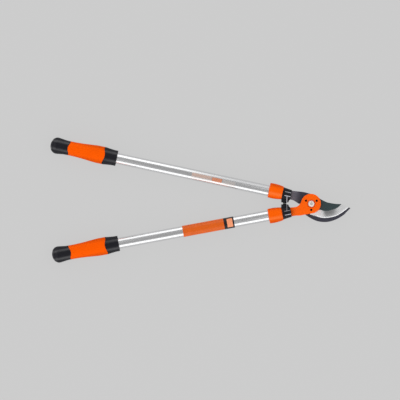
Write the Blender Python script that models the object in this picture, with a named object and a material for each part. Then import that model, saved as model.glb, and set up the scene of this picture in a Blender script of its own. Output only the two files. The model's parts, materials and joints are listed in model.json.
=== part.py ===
# Telescopic bypass lopper, modelled closed and lying on its flat side. The lower handle is pushed
# right in, and the upper one is drawn out a little.
# Metres, +Z up, +X from the grips towards the blades.
# The design frame has its origin on the pivot, halfway between the two steel plates.
# The finished tool is moved at the end so that its origin is at the middle of its base.

import math

import bmesh
import bpy
from mathutils import Matrix, Vector

# Fits, and how far a through cut runs past the piece
GAP = 0.0003
RUNNING_GAP = 0.0003
PAST = 0.0200

# Where the two handles lie
HANDLE_ANGLE = math.radians(11.27)
HANDLE_CROSSING = 0.0450
REST_WALL = 0.0049

# Steel plates of the head
PLATE_THICKNESS = 0.00535
BLADE_THICKNESS = 0.0040
HOOK_BOSS_RADIUS = 0.0220
BLADE_BOSS_RADIUS = 0.0215
EDGE_LAND = 0.00025

# Lever
LEVER_RADIUS = 0.0225
LEVER_DISC_THICKNESS = 0.0070
LEVER_POCKET_RADIUS = 0.0265
LEVER_EDGE_ROUND = 0.0011
ARM_DROP_START = 0.0055
ARM_FLAT_LENGTH = 0.0030

# Pivot fasteners
BOLT_RADIUS = 0.0040
BOLT_HEAD_RADIUS = 0.00765
BOLT_HEAD_HEIGHT = 0.0044
BOLT_HEAD_SINK = 0.0022
BOLT_DOME_HEIGHT = 0.0036
BOLT_FLAT_RADIUS = 0.0030
BOLT_DOME_STEPS = 4
BOLT_EDGE = 0.0005
BOLT_RECESS_MARGIN = 0.00175
BOLT_SOCKET_RADIUS = 0.0027
BOLT_SOCKET_DEPTH = 0.0024
BOLT_TAIL = 0.0008
WASHER_RADIUS = 0.0085
WASHER_THICKNESS = 0.0014
SPRING_RADIUS = 0.0078
SPRING_THICKNESS = 0.0008
SPRING_CONE = 0.0005
NUT_ACROSS_FLATS = 0.0130
NUT_HEIGHT = 0.0050
NUT_COLLAR_WALL = 0.0013
NUT_COLLAR_HEIGHT = 0.0013

# Fasteners of the cutting blade
SCREW_CIRCLE_RADIUS = 0.0140
SCREW_ANGLES = (30.0, 150.0, 270.0)
SCREW_RADIUS = 0.0020
SCREW_HEAD_RADIUS = 0.0038
SCREW_HEAD_HEIGHT = 0.0018
SCREW_SINK = 0.0026

# Tangs inside the handles
TANG_HALF_WIDTH = 0.0088
TANG_TIP_HALF_WIDTH = 0.0075
TANG_TIP_LENGTH = 0.0350
SHOULDER_STEP_OUT = 0.0024
SHOULDER_STEP_IN = 0.0002
SHOULDER_DEPTH = 0.0010

# Collar and stop pad
COLLAR_START = 0.0930
COLLAR_LENGTH = 0.0202
COLLAR_TOP_WALL = 0.0025
COLLAR_RIDGE_OUT = 0.0070
COLLAR_RIDGE_IN = 0.0036
SNOUT_LENGTH = 0.0160
SNOUT_BEHIND_COLLAR = 0.0024
SNOUT_SUNK = 0.0040
SNOUT_HALF_HEIGHT = 0.0103
SNOUT_STANDOFF = 0.0022
SNOUT_FLARE = 0.0055
PAD_LENGTH = 0.0082
PAD_BEHIND_FRONT = 0.0041
PAD_HALF_HEIGHT = 0.0062
PAD_SEAT_DEPTH = 0.0050
PAD_EDGE = 0.0009

# Ferrule
FERRULE_LENGTH = 0.0311
FERRULE_FRONT_WALL = 0.0025
FERRULE_SHIFT = 0.0016
FERRULE_CORNER = 0.0108

# Tubes
TUBE_RADIUS = 0.0127
TUBE_WALL = 0.0012
TUBE_SHOWN = 0.3482
TUBE_IN_GRIP = 0.0750
INNER_TUBE_WALL = 0.0012

# Insert and its cross pins
INSERT_FLANGE = 0.0020
INSERT_END_WALL = 0.0080
PIN_RADIUS = 0.0020
PIN_FROM_TUBE_END = 0.0070
PIN_SPACING = 0.0130

# Guide bush and twist lock, and how far each handle is drawn out
BUSH_WALL = 0.0009
BUSH_LENGTH = 0.0600
BUSH_FLANGE = 0.0020
LOCK_CLEARANCE = 0.0040
RING_LENGTH = 0.0180
RING_THIN_WALL = 0.0030
RING_OFFSET = 0.0008
RING_SLIT = 0.0040
CAM_THROW = 0.0012
PLUG_DISC_THICKNESS = 0.0025
PLUG_FLANGE_THICKNESS = 0.0020
PLUG_SHANK_LENGTH = 0.0250
DRAWN_OUT = {"upper": 0.0070, "lower": 0.0}

# Grip
GRIP_LENGTH = 0.1545
COVER_START = 0.0306
COVER_LENGTH = 0.0800
COVER_THICKNESS = 0.0014
COVER_WAVE = 0.0030
CAP_LENGTH = 0.0060
CROWN_DEPTH = 0.0150
CAP_TURNS = (0.0, 12.0, 24.0, 36.0, 47.0)
CAP_PLUG_LENGTH = 0.0090
GRIP_FLOOR_GAP = 0.0007
GRIP_FRONT_EDGE = 0.0010
GRIP_PIN_BEHIND_FLOOR = 0.0180
GRIP_PIN_SUNK = 0.0005

# Outlines seen from above, from the pivot. The hook's working edge and back run from its nose.
HOOK_INNER = (
    (0.0876, -0.0075),
    (0.0790, -0.0099),
    (0.0730, -0.0146),
    (0.0590, -0.0227),
    (0.0410, -0.0276),
    (0.0300, -0.0254),
    (0.0236, -0.0180),
)
HOOK_OUTER = (
    (-0.0268, -0.0005),
    (-0.0195, -0.0185),
    (-0.0042, -0.0310),
    (0.0159, -0.0399),
    (0.0376, -0.0410),
    (0.0572, -0.0350),
    (0.0740, -0.0248),
    (0.0812, -0.0176),
    (0.0897, -0.0090),
)
HOOK_TANG_TOP = ((-0.0349, 0.0282), (-0.0173, 0.0264), (-0.0040, 0.0232))
HOOK_TANG_BOTTOM = ((-0.0342, 0.0059),)
BLADE_SPINE = (
    (0.0590, 0.0004),
    (0.0517, 0.0010),
    (0.0400, 0.0029),
    (0.0326, 0.0051),
    (0.0209, 0.0109),
)
GRIND_LINE = (
    (-0.0030, -0.0213),
    (0.0060, -0.0207),
    (0.0140, -0.0166),
    (0.0182, -0.0134),
    (0.0272, -0.0153),
    (0.0373, -0.0156),
    (0.0482, -0.0130),
    (0.0569, -0.0099),
    (0.0634, -0.0054),
    (0.0692, 0.0002),
)
EDGE_LINE = (
    (-0.0020, -0.0246),
    (0.0055, -0.0258),
    (0.0130, -0.0277),
    (0.0228, -0.0303),
    (0.0317, -0.0310),
    (0.0411, -0.0302),
    (0.0498, -0.0283),
    (0.0593, -0.0252),
    (0.0739, -0.0163),
    (0.0845, -0.0081),
)
LEVER_TOP = ((-0.0344, -0.0083), (-0.0267, -0.0044), (-0.0240, 0.0010))
LEVER_BOTTOM = ((-0.0132, -0.0248), (-0.0250, -0.0272), (-0.0342, -0.0276))
# Share of the way from grind line to edge, and share of the blade's thickness left there.
GRIND_ROWS = ((0.0, 1.0), (0.35, 0.66), (0.66, 0.41), (0.86, 0.27), (1.0, 0.0))

# Walls over the tube along the ferrule: share of its length from the front, side wall, top wall.
FERRULE_WALLS = (
    (0.00, 0.0021, 0.0022),
    (0.10, 0.0027, 0.0034),
    (0.25, 0.0034, REST_WALL),
    (0.50, 0.0042, REST_WALL),
    (0.70, 0.0044, REST_WALL),
    (0.92, 0.0042, REST_WALL),
    (1.00, 0.0040, 0.0046),
)
# Walls over the tube along the grip: share of its length from the front, side wall, top wall.
# The last row lies past the end of the core and only gives the slope there.
GRIP_WALLS = (
    (0.000, 0.0050, 0.0036),
    (0.040, 0.0050, 0.0036),
    (0.120, 0.0060, 0.0041),
    (0.200, 0.0073, REST_WALL),
    (0.280, 0.0073, REST_WALL),
    (0.390, 0.0062, 0.0043),
    (0.520, 0.0045, 0.0034),
    (0.680, 0.0035, 0.0029),
    (0.780, 0.0038, 0.0031),
    (0.850, 0.0052, 0.0042),
    (0.905, 0.0060, REST_WALL),
    (0.935, 0.0050, 0.0039),
    (0.961, 0.0023, 0.0014),
    (0.985, -0.0028, -0.0033),
)
# Walls round the tang along the collar: share of its length from the front, outer side, inner side,
# and how far its top lies below the full height. It is trimmed at a share of 1.
COLLAR_WALLS = (
    (0.00, 0.0027, 0.0012, 0.0022),
    (0.06, 0.0038, 0.0024, 0.0010),
    (0.55, 0.0049, 0.0036, 0.0),
    (1.10, 0.0066, 0.0047, 0.0),
)
# The snout seen from the front of its side: share of its length from the back, drop from its ridge.
SNOUT_SECTION = ((0.0, 0.0030), (0.125, 0.0008), (0.73, 0.0), (0.96, 0.0034), (1.0, 0.0046))

ROUND = 32
INNER_ROUND = 24
SMALL_ROUND = 12
GRIP_ROUND = 28

# Levels across the head, from the plane between the plates
HOOK_TOP = -GAP / 2
HOOK_BOTTOM = HOOK_TOP - PLATE_THICKNESS
BLADE_BOTTOM = GAP / 2
BLADE_TOP = BLADE_BOTTOM + BLADE_THICKNESS
LEVER_BOTTOM_LEVEL = BLADE_TOP + GAP
LEVER_TOP_LEVEL = LEVER_BOTTOM_LEVEL + LEVER_DISC_THICKNESS
TANG_BOTTOM = -PLATE_THICKNESS - GAP / 2
TANG_TOP = -GAP / 2

# Places along a handle, from where the two handle axes cross
COLLAR_END = COLLAR_START + COLLAR_LENGTH
FERRULE_START = COLLAR_END + GAP
FERRULE_END = FERRULE_START + FERRULE_LENGTH
INSERT_START = FERRULE_START + FERRULE_FRONT_WALL + GAP
TUBE_START = INSERT_START + INSERT_FLANGE + GAP
TANG_SHOULDER = COLLAR_END - SHOULDER_DEPTH
SLOPE_FRONT = HANDLE_CROSSING + LEVER_RADIUS + ARM_DROP_START
SLOPE_BACK = COLLAR_START - ARM_FLAT_LENGTH
TANG_END = FERRULE_START + TANG_TIP_LENGTH
INSERT_END = TANG_END + GAP + INSERT_END_WALL
PIN_PLACES = (TUBE_START + PIN_FROM_TUBE_END, TUBE_START + PIN_FROM_TUBE_END + PIN_SPACING)
DISC_START = INSERT_END + LOCK_CLEARANCE
RING_START = DISC_START + PLUG_DISC_THICKNESS + GAP
RING_END = RING_START + RING_LENGTH
FLANGE_START = RING_END + GAP
INNER_TUBE_START = FLANGE_START + PLUG_FLANGE_THICKNESS + GAP
GRIP_START = FERRULE_END + TUBE_SHOWN
TUBE_END = GRIP_START + TUBE_IN_GRIP
BUSH_START = TUBE_END - BUSH_LENGTH
GRIP_FLOOR = TUBE_END + GAP + BUSH_FLANGE + GRIP_FLOOR_GAP
GRIP_PIN_PLACE = GRIP_FLOOR + GRIP_PIN_BEHIND_FLOOR
CORE_LENGTH = GRIP_LENGTH - CAP_LENGTH - GAP
CAP_START = GRIP_START + CORE_LENGTH + GAP
INNER_TUBE_END = CAP_START - CAP_PLUG_LENGTH - GAP
SNOUT_BACK = HANDLE_CROSSING - COLLAR_END * math.cos(HANDLE_ANGLE) - SNOUT_BEHIND_COLLAR
SNOUT_FRONT = SNOUT_BACK + SNOUT_LENGTH

# Radii inside the handle
TUBE_BORE = TUBE_RADIUS - TUBE_WALL
LINER_RADIUS = TUBE_BORE - GAP
INNER_TUBE_RADIUS = LINER_RADIUS - BUSH_WALL - RUNNING_GAP
INNER_BORE = INNER_TUBE_RADIUS - INNER_TUBE_WALL
CORE_BORE = INNER_TUBE_RADIUS + GAP
CORE_COUNTERBORE = TUBE_RADIUS + RUNNING_GAP
RING_BORE = LINER_RADIUS - RING_THIN_WALL - RING_OFFSET
CAM_RADIUS = RING_BORE - RING_OFFSET - CAM_THROW - RUNNING_GAP

UPPER, LOWER = 1, -1

ORANGE = (1.0, 0.12, 0.005)
BLACK = (0.018, 0.018, 0.022)
ALUMINIUM = (0.80, 0.81, 0.83)
STEEL = (0.62, 0.62, 0.64)
DARK_STEEL = (0.055, 0.062, 0.075)
NATURAL = (0.55, 0.54, 0.50)


def clear_scene():
    for obj in list(bpy.data.objects):
        bpy.data.objects.remove(obj, do_unlink=True)


def finish_of(name, colour, roughness, metallic):
    made = bpy.data.materials.new(name)
    made.use_nodes = True
    shader = made.node_tree.nodes["Principled BSDF"]
    shader.inputs["Base Color"].default_value = (*colour, 1.0)
    shader.inputs["Roughness"].default_value = roughness
    shader.inputs["Metallic"].default_value = metallic
    made.diffuse_color = (*colour, 1.0)
    return made


def empty(name, parent, place):
    made = bpy.data.objects.new(name, None)
    bpy.context.scene.collection.objects.link(made)
    made.parent = parent
    made.matrix_local = place
    return made


def solid(name, bm, parent, look=None, sharp=40.0):
    """An object of the bmesh under its parent. Its look is (colour, roughness, metallic)."""
    bmesh.ops.remove_doubles(bm, verts=bm.verts, dist=1e-7)
    bmesh.ops.recalc_face_normals(bm, faces=bm.faces)
    mesh = bpy.data.meshes.new(name)
    bm.to_mesh(mesh)
    bm.free()
    mesh.shade_smooth()
    mesh.set_sharp_from_angle(angle=math.radians(sharp))
    obj = bpy.data.objects.new(name, mesh)
    bpy.context.scene.collection.objects.link(obj)
    obj.parent = parent
    if look:
        mesh.materials.append(finish_of(name, *look))
    return obj


def cut(target, name, bm, parent):
    """Takes the bmesh's shape out of the target."""
    boolean(target, name, bm, parent, "DIFFERENCE")


def join(target, name, bm, parent):
    """Adds the bmesh's shape to the target."""
    boolean(target, name, bm, parent, "UNION")


def boolean(target, name, bm, parent, operation):
    tool = solid(target.name + "_" + name, bm, parent)
    tool.hide_render = True
    tool.display_type = "WIRE"
    modifier = target.modifiers.new(name, "BOOLEAN")
    modifier.operation = operation
    modifier.object = tool


def smooth(points, steps):
    """A curve through the points, with this many steps from each to the next."""
    ends = [Vector(p) for p in points]
    ends = [2 * ends[0] - ends[1], *ends, 2 * ends[-1] - ends[-2]]
    curve = []
    for before, start, end, after in zip(ends, ends[1:], ends[2:], ends[3:]):
        for step in range(steps):
            t = step / steps
            curve.append(
                0.5
                * (
                    2 * start
                    + (end - before) * t
                    + (2 * before - 5 * start + 4 * end - after) * t**2
                    + (3 * start - before - 3 * end + after) * t**3
                )
            )
    return [*curve, Vector(points[-1])]


def arc(radius, start, end, steps, centre=(0.0, 0.0)):
    """Points on an arc, between angles in degrees."""
    angles = [math.radians(start + (end - start) * i / steps) for i in range(steps + 1)]
    return [Vector((centre[0] + radius * math.cos(a), centre[1] + radius * math.sin(a))) for a in angles]


def on_handle(along, inward, side):
    """The point in the design frame at a place on a handle's axis, moved inward across it."""
    x = HANDLE_CROSSING - along * math.cos(HANDLE_ANGLE) - inward * math.sin(HANDLE_ANGLE)
    y = along * math.sin(HANDLE_ANGLE) - inward * math.cos(HANDLE_ANGLE)
    return Vector((x, side * y))


def prism(outline, low, high, edge=0.0, segments=1, both=True):
    """The outline raised from low to high along Z, with its top (and bottom) edges cut back."""
    bm = bmesh.new()
    base = bm.faces.new([bm.verts.new((p[0], p[1], low)) for p in outline])
    raised = bmesh.ops.extrude_face_region(bm, geom=[base])
    top_points = [item for item in raised["geom"] if isinstance(item, bmesh.types.BMVert)]
    bmesh.ops.translate(bm, vec=(0, 0, high - low), verts=top_points)
    bmesh.ops.recalc_face_normals(bm, faces=bm.faces)
    if edge:
        levels = {round(high, 7), round(low, 7)} if both else {round(high, 7)}
        rims = [e for e in bm.edges if len({round(v.co.z, 7) for v in e.verts} & levels) == 1
                and round(e.verts[0].co.z, 7) == round(e.verts[1].co.z, 7)]
        bmesh.ops.bevel(bm, geom=rims, offset=edge, offset_type="OFFSET", segments=segments,
                        profile=0.5, affect="EDGES", clamp_overlap=True, material=-1)
    return bm


def lay_along_x(bm):
    """Turns what was raised along Z so that it runs along X, with its X across as Y and its Y as Z."""
    turn = Matrix(((0, 0, 1, 0), (1, 0, 0, 0), (0, 1, 0, 0), (0, 0, 0, 1)))
    bmesh.ops.transform(bm, matrix=turn, verts=bm.verts)
    return bm


def lay_along_y(bm):
    """Turns what was raised along Z so that it runs along Y, with its Y as Z."""
    turn = Matrix(((1, 0, 0, 0), (0, 0, 1, 0), (0, 1, 0, 0), (0, 0, 0, 1)))
    bmesh.ops.transform(bm, matrix=turn, verts=bm.verts)
    return bm


def turned(profile, steps=ROUND, hollow=False):
    """A profile of (along X, radius) turned about the X axis. A hollow one is a closed loop."""
    bm = bmesh.new()
    points = [bm.verts.new((x, 0, r)) for x, r in profile]
    pairs = list(zip(points, points[1:]))
    if hollow:
        pairs.append((points[-1], points[0]))
    edges = [bm.edges.new(pair) for pair in pairs]
    bmesh.ops.spin(bm, geom=[*points, *edges], axis=(1, 0, 0), cent=(0, 0, 0),
                   angle=math.tau, steps=steps, use_merge=True, use_duplicate=False)
    return bm


def upright(bm, x=0.0, y=0.0):
    """Stands a shape turned about X up along Z at (x, y)."""
    bmesh.ops.rotate(bm, cent=(0, 0, 0), matrix=Matrix.Rotation(-math.pi / 2, 3, "Y"), verts=bm.verts)
    bmesh.ops.translate(bm, vec=(x, y, 0), verts=bm.verts)
    return bm


def rod(radius, low, high, steps=ROUND):
    return turned(((low, 0), (low, radius), (high, radius), (high, 0)), steps)


def pipe(outer, inner, low, high, steps=ROUND):
    return turned(((low, inner), (low, outer), (high, outer), (high, inner)), steps, hollow=True)


def box(low, high, edge=0.0):
    corners = ((low[0], low[1]), (high[0], low[1]), (high[0], high[1]), (low[0], high[1]))
    return prism(corners, low[2], high[2], edge)


def lofted(rings, ends_closed=True):
    """Skins a row of rings. Without closed ends the last ring joins the first, as on a sleeve."""
    bm = bmesh.new()
    rows = [[bm.verts.new(point) for point in ring] for ring in rings]
    following = rows[1:] if ends_closed else [*rows[1:], rows[0]]
    for row, other in zip(rows, following):
        for i in range(len(row)):
            j = (i + 1) % len(row)
            bm.faces.new((row[i], row[j], other[j], other[i]))
    if ends_closed:
        bm.faces.new(rows[0])
        bm.faces.new(rows[-1])
    bmesh.ops.triangulate(bm, faces=bm.faces)
    return bm


def slope(before, here, after, column):
    """Slope of a table's column at a row, level at its peaks and dips so that it never overshoots."""
    if (here[column] - before[column]) * (after[column] - here[column]) <= 0:
        return 0.0
    return (after[column] - before[column]) / (after[0] - before[0])


def at(table, place):
    """Side and top wall at a place, read from a table of (place, side, top) by a smooth curve."""
    if place <= table[0][0]:
        return table[0][1:3]
    for i, (low, high) in enumerate(zip(table, table[1:])):
        if place <= high[0]:
            before = table[max(i - 1, 0)]
            after = table[min(i + 2, len(table) - 1)]
            span = high[0] - low[0]
            t = (place - low[0]) / span
            walls = []
            for column in (1, 2):
                start = slope(before, low, high, column) * span
                end = slope(low, high, after, column) * span
                walls.append(
                    low[column] * (2 * t**3 - 3 * t**2 + 1) + start * (t**3 - 2 * t**2 + t)
                    + high[column] * (3 * t**2 - 2 * t**3) + end * (t**3 - t**2)
                )
            return walls
    return table[-1][1:3]


def hook_outline():
    """The hook, its boss round the pivot and its tang, in one plate."""
    tang = [
        on_handle(TANG_END, TANG_TIP_HALF_WIDTH, UPPER),
        on_handle(TANG_END, -TANG_TIP_HALF_WIDTH, UPPER),
        on_handle(TANG_SHOULDER, -TANG_TIP_HALF_WIDTH, UPPER),
        on_handle(TANG_SHOULDER, -TANG_HALF_WIDTH, UPPER),
        on_handle(COLLAR_START - GAP, -TANG_HALF_WIDTH, UPPER),
    ]
    shoulder_out = on_handle(COLLAR_START - GAP, -TANG_HALF_WIDTH - SHOULDER_STEP_OUT, UPPER)
    shoulder_in = on_handle(COLLAR_START - GAP, TANG_HALF_WIDTH + SHOULDER_STEP_IN, UPPER)
    boss = arc(HOOK_BOSS_RADIUS, 78, -24, 10)
    top = smooth((shoulder_out, *HOOK_TANG_TOP, boss[0]), 3)
    throat = smooth((boss[-1], *reversed(HOOK_INNER)), 3)
    back = smooth((*reversed(HOOK_OUTER), *HOOK_TANG_BOTTOM, shoulder_in), 3)
    root = [
        on_handle(COLLAR_START - GAP, TANG_HALF_WIDTH, UPPER),
        on_handle(TANG_SHOULDER, TANG_HALF_WIDTH, UPPER),
        on_handle(TANG_SHOULDER, TANG_TIP_HALF_WIDTH, UPPER),
    ]
    return [*tang, *top, *boss[1:-1], *throat, *back, *root]


def hook_blade(parent, handle):
    plate = prism(hook_outline(), HOOK_BOTTOM, HOOK_TOP)
    hook = solid("hook_blade", plate, parent, (DARK_STEEL, 0.38, 0.7))
    cut(hook, "pivot_hole", upright(rod(BOLT_RADIUS + RUNNING_GAP, -PAST, PAST)), parent)
    cross_holes(hook, handle)


def cutting_blade(parent):
    """The ground plate: flat underneath, with a hollow bevel from the grind line down to the edge."""
    grind = smooth(GRIND_LINE, 3)
    edge = smooth(EDGE_LINE, 3)
    spine = smooth((GRIND_LINE[-1], *BLADE_SPINE), 3)[1:]
    back = arc(BLADE_BOSS_RADIUS, 52, 262, 20)[:-1]
    bm = bmesh.new()
    rows = []
    for share, left in GRIND_ROWS:
        level = BLADE_BOTTOM + EDGE_LAND + (BLADE_THICKNESS - EDGE_LAND) * left
        rows.append([bm.verts.new((*a.lerp(b, share), level)) for a, b in zip(grind, edge)])
    rows.append([bm.verts.new((*p, BLADE_BOTTOM)) for p in edge])
    top = [bm.verts.new((*p, BLADE_TOP)) for p in (*spine, *back)]
    low = [bm.verts.new((*p, BLADE_BOTTOM)) for p in (grind[-1], *spine, *back, grind[0])]
    for row, other in zip(rows, rows[1:]):
        for i in range(len(row) - 1):
            bm.faces.new((row[i], row[i + 1], other[i + 1], other[i]))
    high = [rows[0][-1], *top, rows[0][0]]
    for i in range(len(high) - 1):
        bm.faces.new((high[i], high[i + 1], low[i + 1], low[i]))
    bm.faces.new([*(row[0] for row in rows), low[-1]])
    bm.faces.new([*(row[-1] for row in rows), low[0]])
    bm.faces.new([*rows[0], *top])
    bm.faces.new([*rows[-1], *low])
    blade = solid("cutting_blade", bm, parent, (DARK_STEEL, 0.3, 0.8), 25.0)
    cut(blade, "pivot_hole", upright(rod(BOLT_RADIUS + GAP, -PAST, PAST)), parent)
    for i, (x, y) in enumerate(screw_places()):
        cut(blade, f"screw_hole_{i}", screw_shape(GAP, x, y), parent)


def screw_places():
    return [
        (SCREW_CIRCLE_RADIUS * math.cos(math.radians(a)), SCREW_CIRCLE_RADIUS * math.sin(math.radians(a)))
        for a in SCREW_ANGLES
    ]


def screw_shape(clearance, x, y):
    """A countersunk screw, flush with the flat face of the blade. With clearance, the hole for it."""
    seat = BLADE_BOTTOM + GAP / 2
    low = seat - clearance
    neck = seat + SCREW_HEAD_HEIGHT + clearance
    high = LEVER_TOP_LEVEL - SCREW_SINK + clearance
    head = SCREW_HEAD_RADIUS + clearance
    shank = SCREW_RADIUS + clearance
    shape = ((low, 0), (low, head), (seat, head), (neck, shank), (high, shank), (high, 0))
    return upright(turned(shape, SMALL_ROUND), x, y)


def lever_outline():
    disc = arc(LEVER_RADIUS, -88, 172, 28)
    shoulder_out = on_handle(COLLAR_START - GAP, -TANG_HALF_WIDTH - SHOULDER_STEP_OUT, LOWER)
    shoulder_in = on_handle(COLLAR_START - GAP, TANG_HALF_WIDTH + SHOULDER_STEP_IN, LOWER)
    top = smooth((disc[-1], *reversed(LEVER_TOP), shoulder_in), 3)
    bottom = smooth((shoulder_out, *reversed(LEVER_BOTTOM), disc[0]), 3)
    tang = [
        on_handle(COLLAR_START - GAP, TANG_HALF_WIDTH, LOWER),
        on_handle(TANG_SHOULDER, TANG_HALF_WIDTH, LOWER),
        on_handle(TANG_SHOULDER, TANG_TIP_HALF_WIDTH, LOWER),
        on_handle(TANG_END, TANG_TIP_HALF_WIDTH, LOWER),
        on_handle(TANG_END, -TANG_TIP_HALF_WIDTH, LOWER),
        on_handle(TANG_SHOULDER, -TANG_TIP_HALF_WIDTH, LOWER),
        on_handle(TANG_SHOULDER, -TANG_HALF_WIDTH, LOWER),
        on_handle(COLLAR_START - GAP, -TANG_HALF_WIDTH, LOWER),
    ]
    return [*disc[:-1], *top, *tang, *bottom[:-1]]


def lever_arm(parent, handle):
    """Disc over the blade and an arm that drops to the level of the lower tang."""
    body = prism(lever_outline(), BLADE_BOTTOM, LEVER_TOP_LEVEL, LEVER_EDGE_ROUND, 2, both=False)
    lever = solid("lever_arm", body, parent, (ORANGE, 0.35, 0.0))
    hole = BOLT_RADIUS + GAP
    recess = BOLT_HEAD_RADIUS + BOLT_RECESS_MARGIN
    recess_floor = LEVER_TOP_LEVEL - BOLT_HEAD_SINK
    stepped = (
        (BLADE_BOTTOM - PAST, 0), (BLADE_BOTTOM - PAST, LEVER_POCKET_RADIUS),
        (LEVER_BOTTOM_LEVEL, LEVER_POCKET_RADIUS), (LEVER_BOTTOM_LEVEL, hole), (recess_floor, hole),
        (recess_floor, recess), (LEVER_TOP_LEVEL + PAST, recess), (LEVER_TOP_LEVEL + PAST, 0),
    )
    cut(lever, "pivot_bores", upright(turned(stepped)), parent)
    arm_top = PLATE_THICKNESS + GAP / 2
    above = LEVER_TOP_LEVEL + PAST
    drop = (
        (SLOPE_FRONT, LEVER_TOP_LEVEL), (SLOPE_BACK, arm_top), (TANG_END + PAST, arm_top),
        (TANG_END + PAST, above), (SLOPE_FRONT - PAST, above), (SLOPE_FRONT - PAST, LEVER_TOP_LEVEL),
    )
    wedge = lay_along_y(prism([(x, -z) for x, z in drop], -LEVER_RADIUS - PAST, LEVER_RADIUS + PAST))
    cut(lever, "drop", wedge, handle)
    for i, (x, y) in enumerate(screw_places()):
        hole = upright(rod(SCREW_RADIUS + GAP, 0.0, LEVER_TOP_LEVEL + PAST, SMALL_ROUND), x, y)
        cut(lever, f"screw_hole_{i}", hole, parent)
    cross_holes(lever, handle)


def pivot_set(parent):
    """Bolt from above, and under the hook a washer, a cone spring and a lock nut."""
    seat = LEVER_TOP_LEVEL - BOLT_HEAD_SINK + GAP
    top = seat + BOLT_HEAD_HEIGHT
    washer_top = HOOK_BOTTOM - GAP
    washer_low = washer_top - WASHER_THICKNESS
    spring_top = washer_low - GAP
    spring_low = spring_top - SPRING_CONE - SPRING_THICKNESS
    nut_top = spring_low - GAP
    nut_low = nut_top - NUT_HEIGHT
    tail = nut_low - NUT_COLLAR_HEIGHT - BOLT_TAIL
    side = BOLT_HEAD_RADIUS
    crown = BOLT_DOME_HEIGHT
    flat = BOLT_FLAT_RADIUS
    centre_depth = (side**2 + crown**2 - flat**2) / (2 * crown)
    ball = math.hypot(flat, centre_depth)
    dome = []
    for step in range(BOLT_DOME_STEPS + 1):
        radius = side + (flat - side) * step / BOLT_DOME_STEPS
        dome.append((top - centre_depth + math.sqrt(ball**2 - radius**2), radius))
    shape = (
        (tail, 0), (tail, BOLT_RADIUS - BOLT_EDGE), (tail + BOLT_EDGE, BOLT_RADIUS), (seat, BOLT_RADIUS),
        (seat, side - BOLT_EDGE), (seat + BOLT_EDGE, side), *dome, (top, 0),
    )
    bolt = solid("pivot_bolt", upright(turned(shape)), parent, (STEEL, 0.22, 1.0), 30.0)
    cut(bolt, "socket", prism(hexagon(BOLT_SOCKET_RADIUS), top - BOLT_SOCKET_DEPTH, top + PAST), parent)
    hole = BOLT_RADIUS + GAP
    washer = pipe(WASHER_RADIUS, hole, washer_low, washer_top, INNER_ROUND)
    solid("pivot_washer", upright(washer), parent, (STEEL, 0.3, 1.0))
    cone = (
        (spring_top - SPRING_THICKNESS, hole), (spring_top, hole),
        (spring_low + SPRING_THICKNESS, SPRING_RADIUS), (spring_low, SPRING_RADIUS),
    )
    spring = turned(cone, INNER_ROUND, hollow=True)
    solid("spring_washer", upright(spring), parent, (STEEL, 0.3, 1.0))
    flats = prism(hexagon(NUT_ACROSS_FLATS / math.sqrt(3)), nut_low, nut_top)
    nut = solid("pivot_nut", flats, parent, (STEEL, 0.3, 1.0))
    collar = rod(hole + NUT_COLLAR_WALL, nut_low - NUT_COLLAR_HEIGHT, nut_low + NUT_HEIGHT / 2, INNER_ROUND)
    join(nut, "collar", upright(collar), parent)
    cut(nut, "thread", upright(rod(hole, nut_low - PAST, nut_top + PAST, INNER_ROUND)), parent)


def hexagon(radius):
    return arc(radius, 0, 300, 5)


def blade_screws(parent):
    for i, (x, y) in enumerate(screw_places()):
        solid(f"blade_screw_{i + 1}", screw_shape(0.0, x, y), parent, (DARK_STEEL, 0.4, 0.9))


def tang_slot(half_width, start, end):
    """What is cut away for a tang between two places on the handle."""
    low = (start, -half_width - GAP, TANG_BOTTOM - GAP)
    return box(low, (end, half_width + GAP, TANG_TOP + GAP))


def collar_ring(share, outer_wall, inner_wall, drop):
    """Six-cornered half section above the middle, and the same below."""
    along = COLLAR_START + share * COLLAR_LENGTH
    outer = TANG_HALF_WIDTH + outer_wall
    inner = TANG_HALF_WIDTH + inner_wall
    height = TUBE_RADIUS + COLLAR_TOP_WALL - drop
    half = [
        (-outer, 0.42 * height), (-outer + 0.0024, 0.74 * height), (-COLLAR_RIDGE_OUT, height),
        (COLLAR_RIDGE_IN, height), (inner - 0.0016, 0.72 * height), (inner, 0.40 * height),
    ]
    return [(along, y, z) for y, z in half] + [(along, y, -z) for y, z in reversed(half)]


def bumper_collar(name, side_frame, handle):
    """Sleeve round the tang, with a ridged snout that carries the stop pad."""
    sleeve = lofted([collar_ring(*row) for row in COLLAR_WALLS])
    collar = solid(name, sleeve, handle, (BLACK, 0.5, 0.0), 25.0)
    join(collar, "snout", snout_shape(), side_frame)
    behind = box((COLLAR_END, -PAST, -PAST), (COLLAR_END + PAST, 2 * PAST, PAST))
    cut(collar, "back_face", behind, handle)
    cut(collar, "tang_slot", tang_slot(TANG_HALF_WIDTH, COLLAR_START - PAST, COLLAR_END + PAST), handle)
    cut(collar, "pad_pocket", pad_shape(GAP, SNOUT_STANDOFF - PAST), side_frame)


def snout_shape():
    """The snout from its tip to inside the collar. Its front widens on the way to the collar's front."""
    half = [(SNOUT_BACK + share * SNOUT_LENGTH, SNOUT_HALF_HEIGHT - drop) for share, drop in SNOUT_SECTION]
    outline = half + [(x, -z) for x, z in reversed(half)]
    axis_height = (HANDLE_CROSSING - SNOUT_BACK - SNOUT_LENGTH / 2) * math.tan(HANDLE_ANGLE)
    root = axis_height - SNOUT_SUNK
    snout = lay_along_y(prism(outline, SNOUT_STANDOFF, root))
    for v in snout.verts:
        risen = (v.co.y - SNOUT_STANDOFF) / (root - SNOUT_STANDOFF)
        v.co.x += risen * SNOUT_FLARE * (v.co.x - SNOUT_BACK) / SNOUT_LENGTH
    bmesh.ops.triangulate(snout, faces=snout.faces)
    return snout


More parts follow.
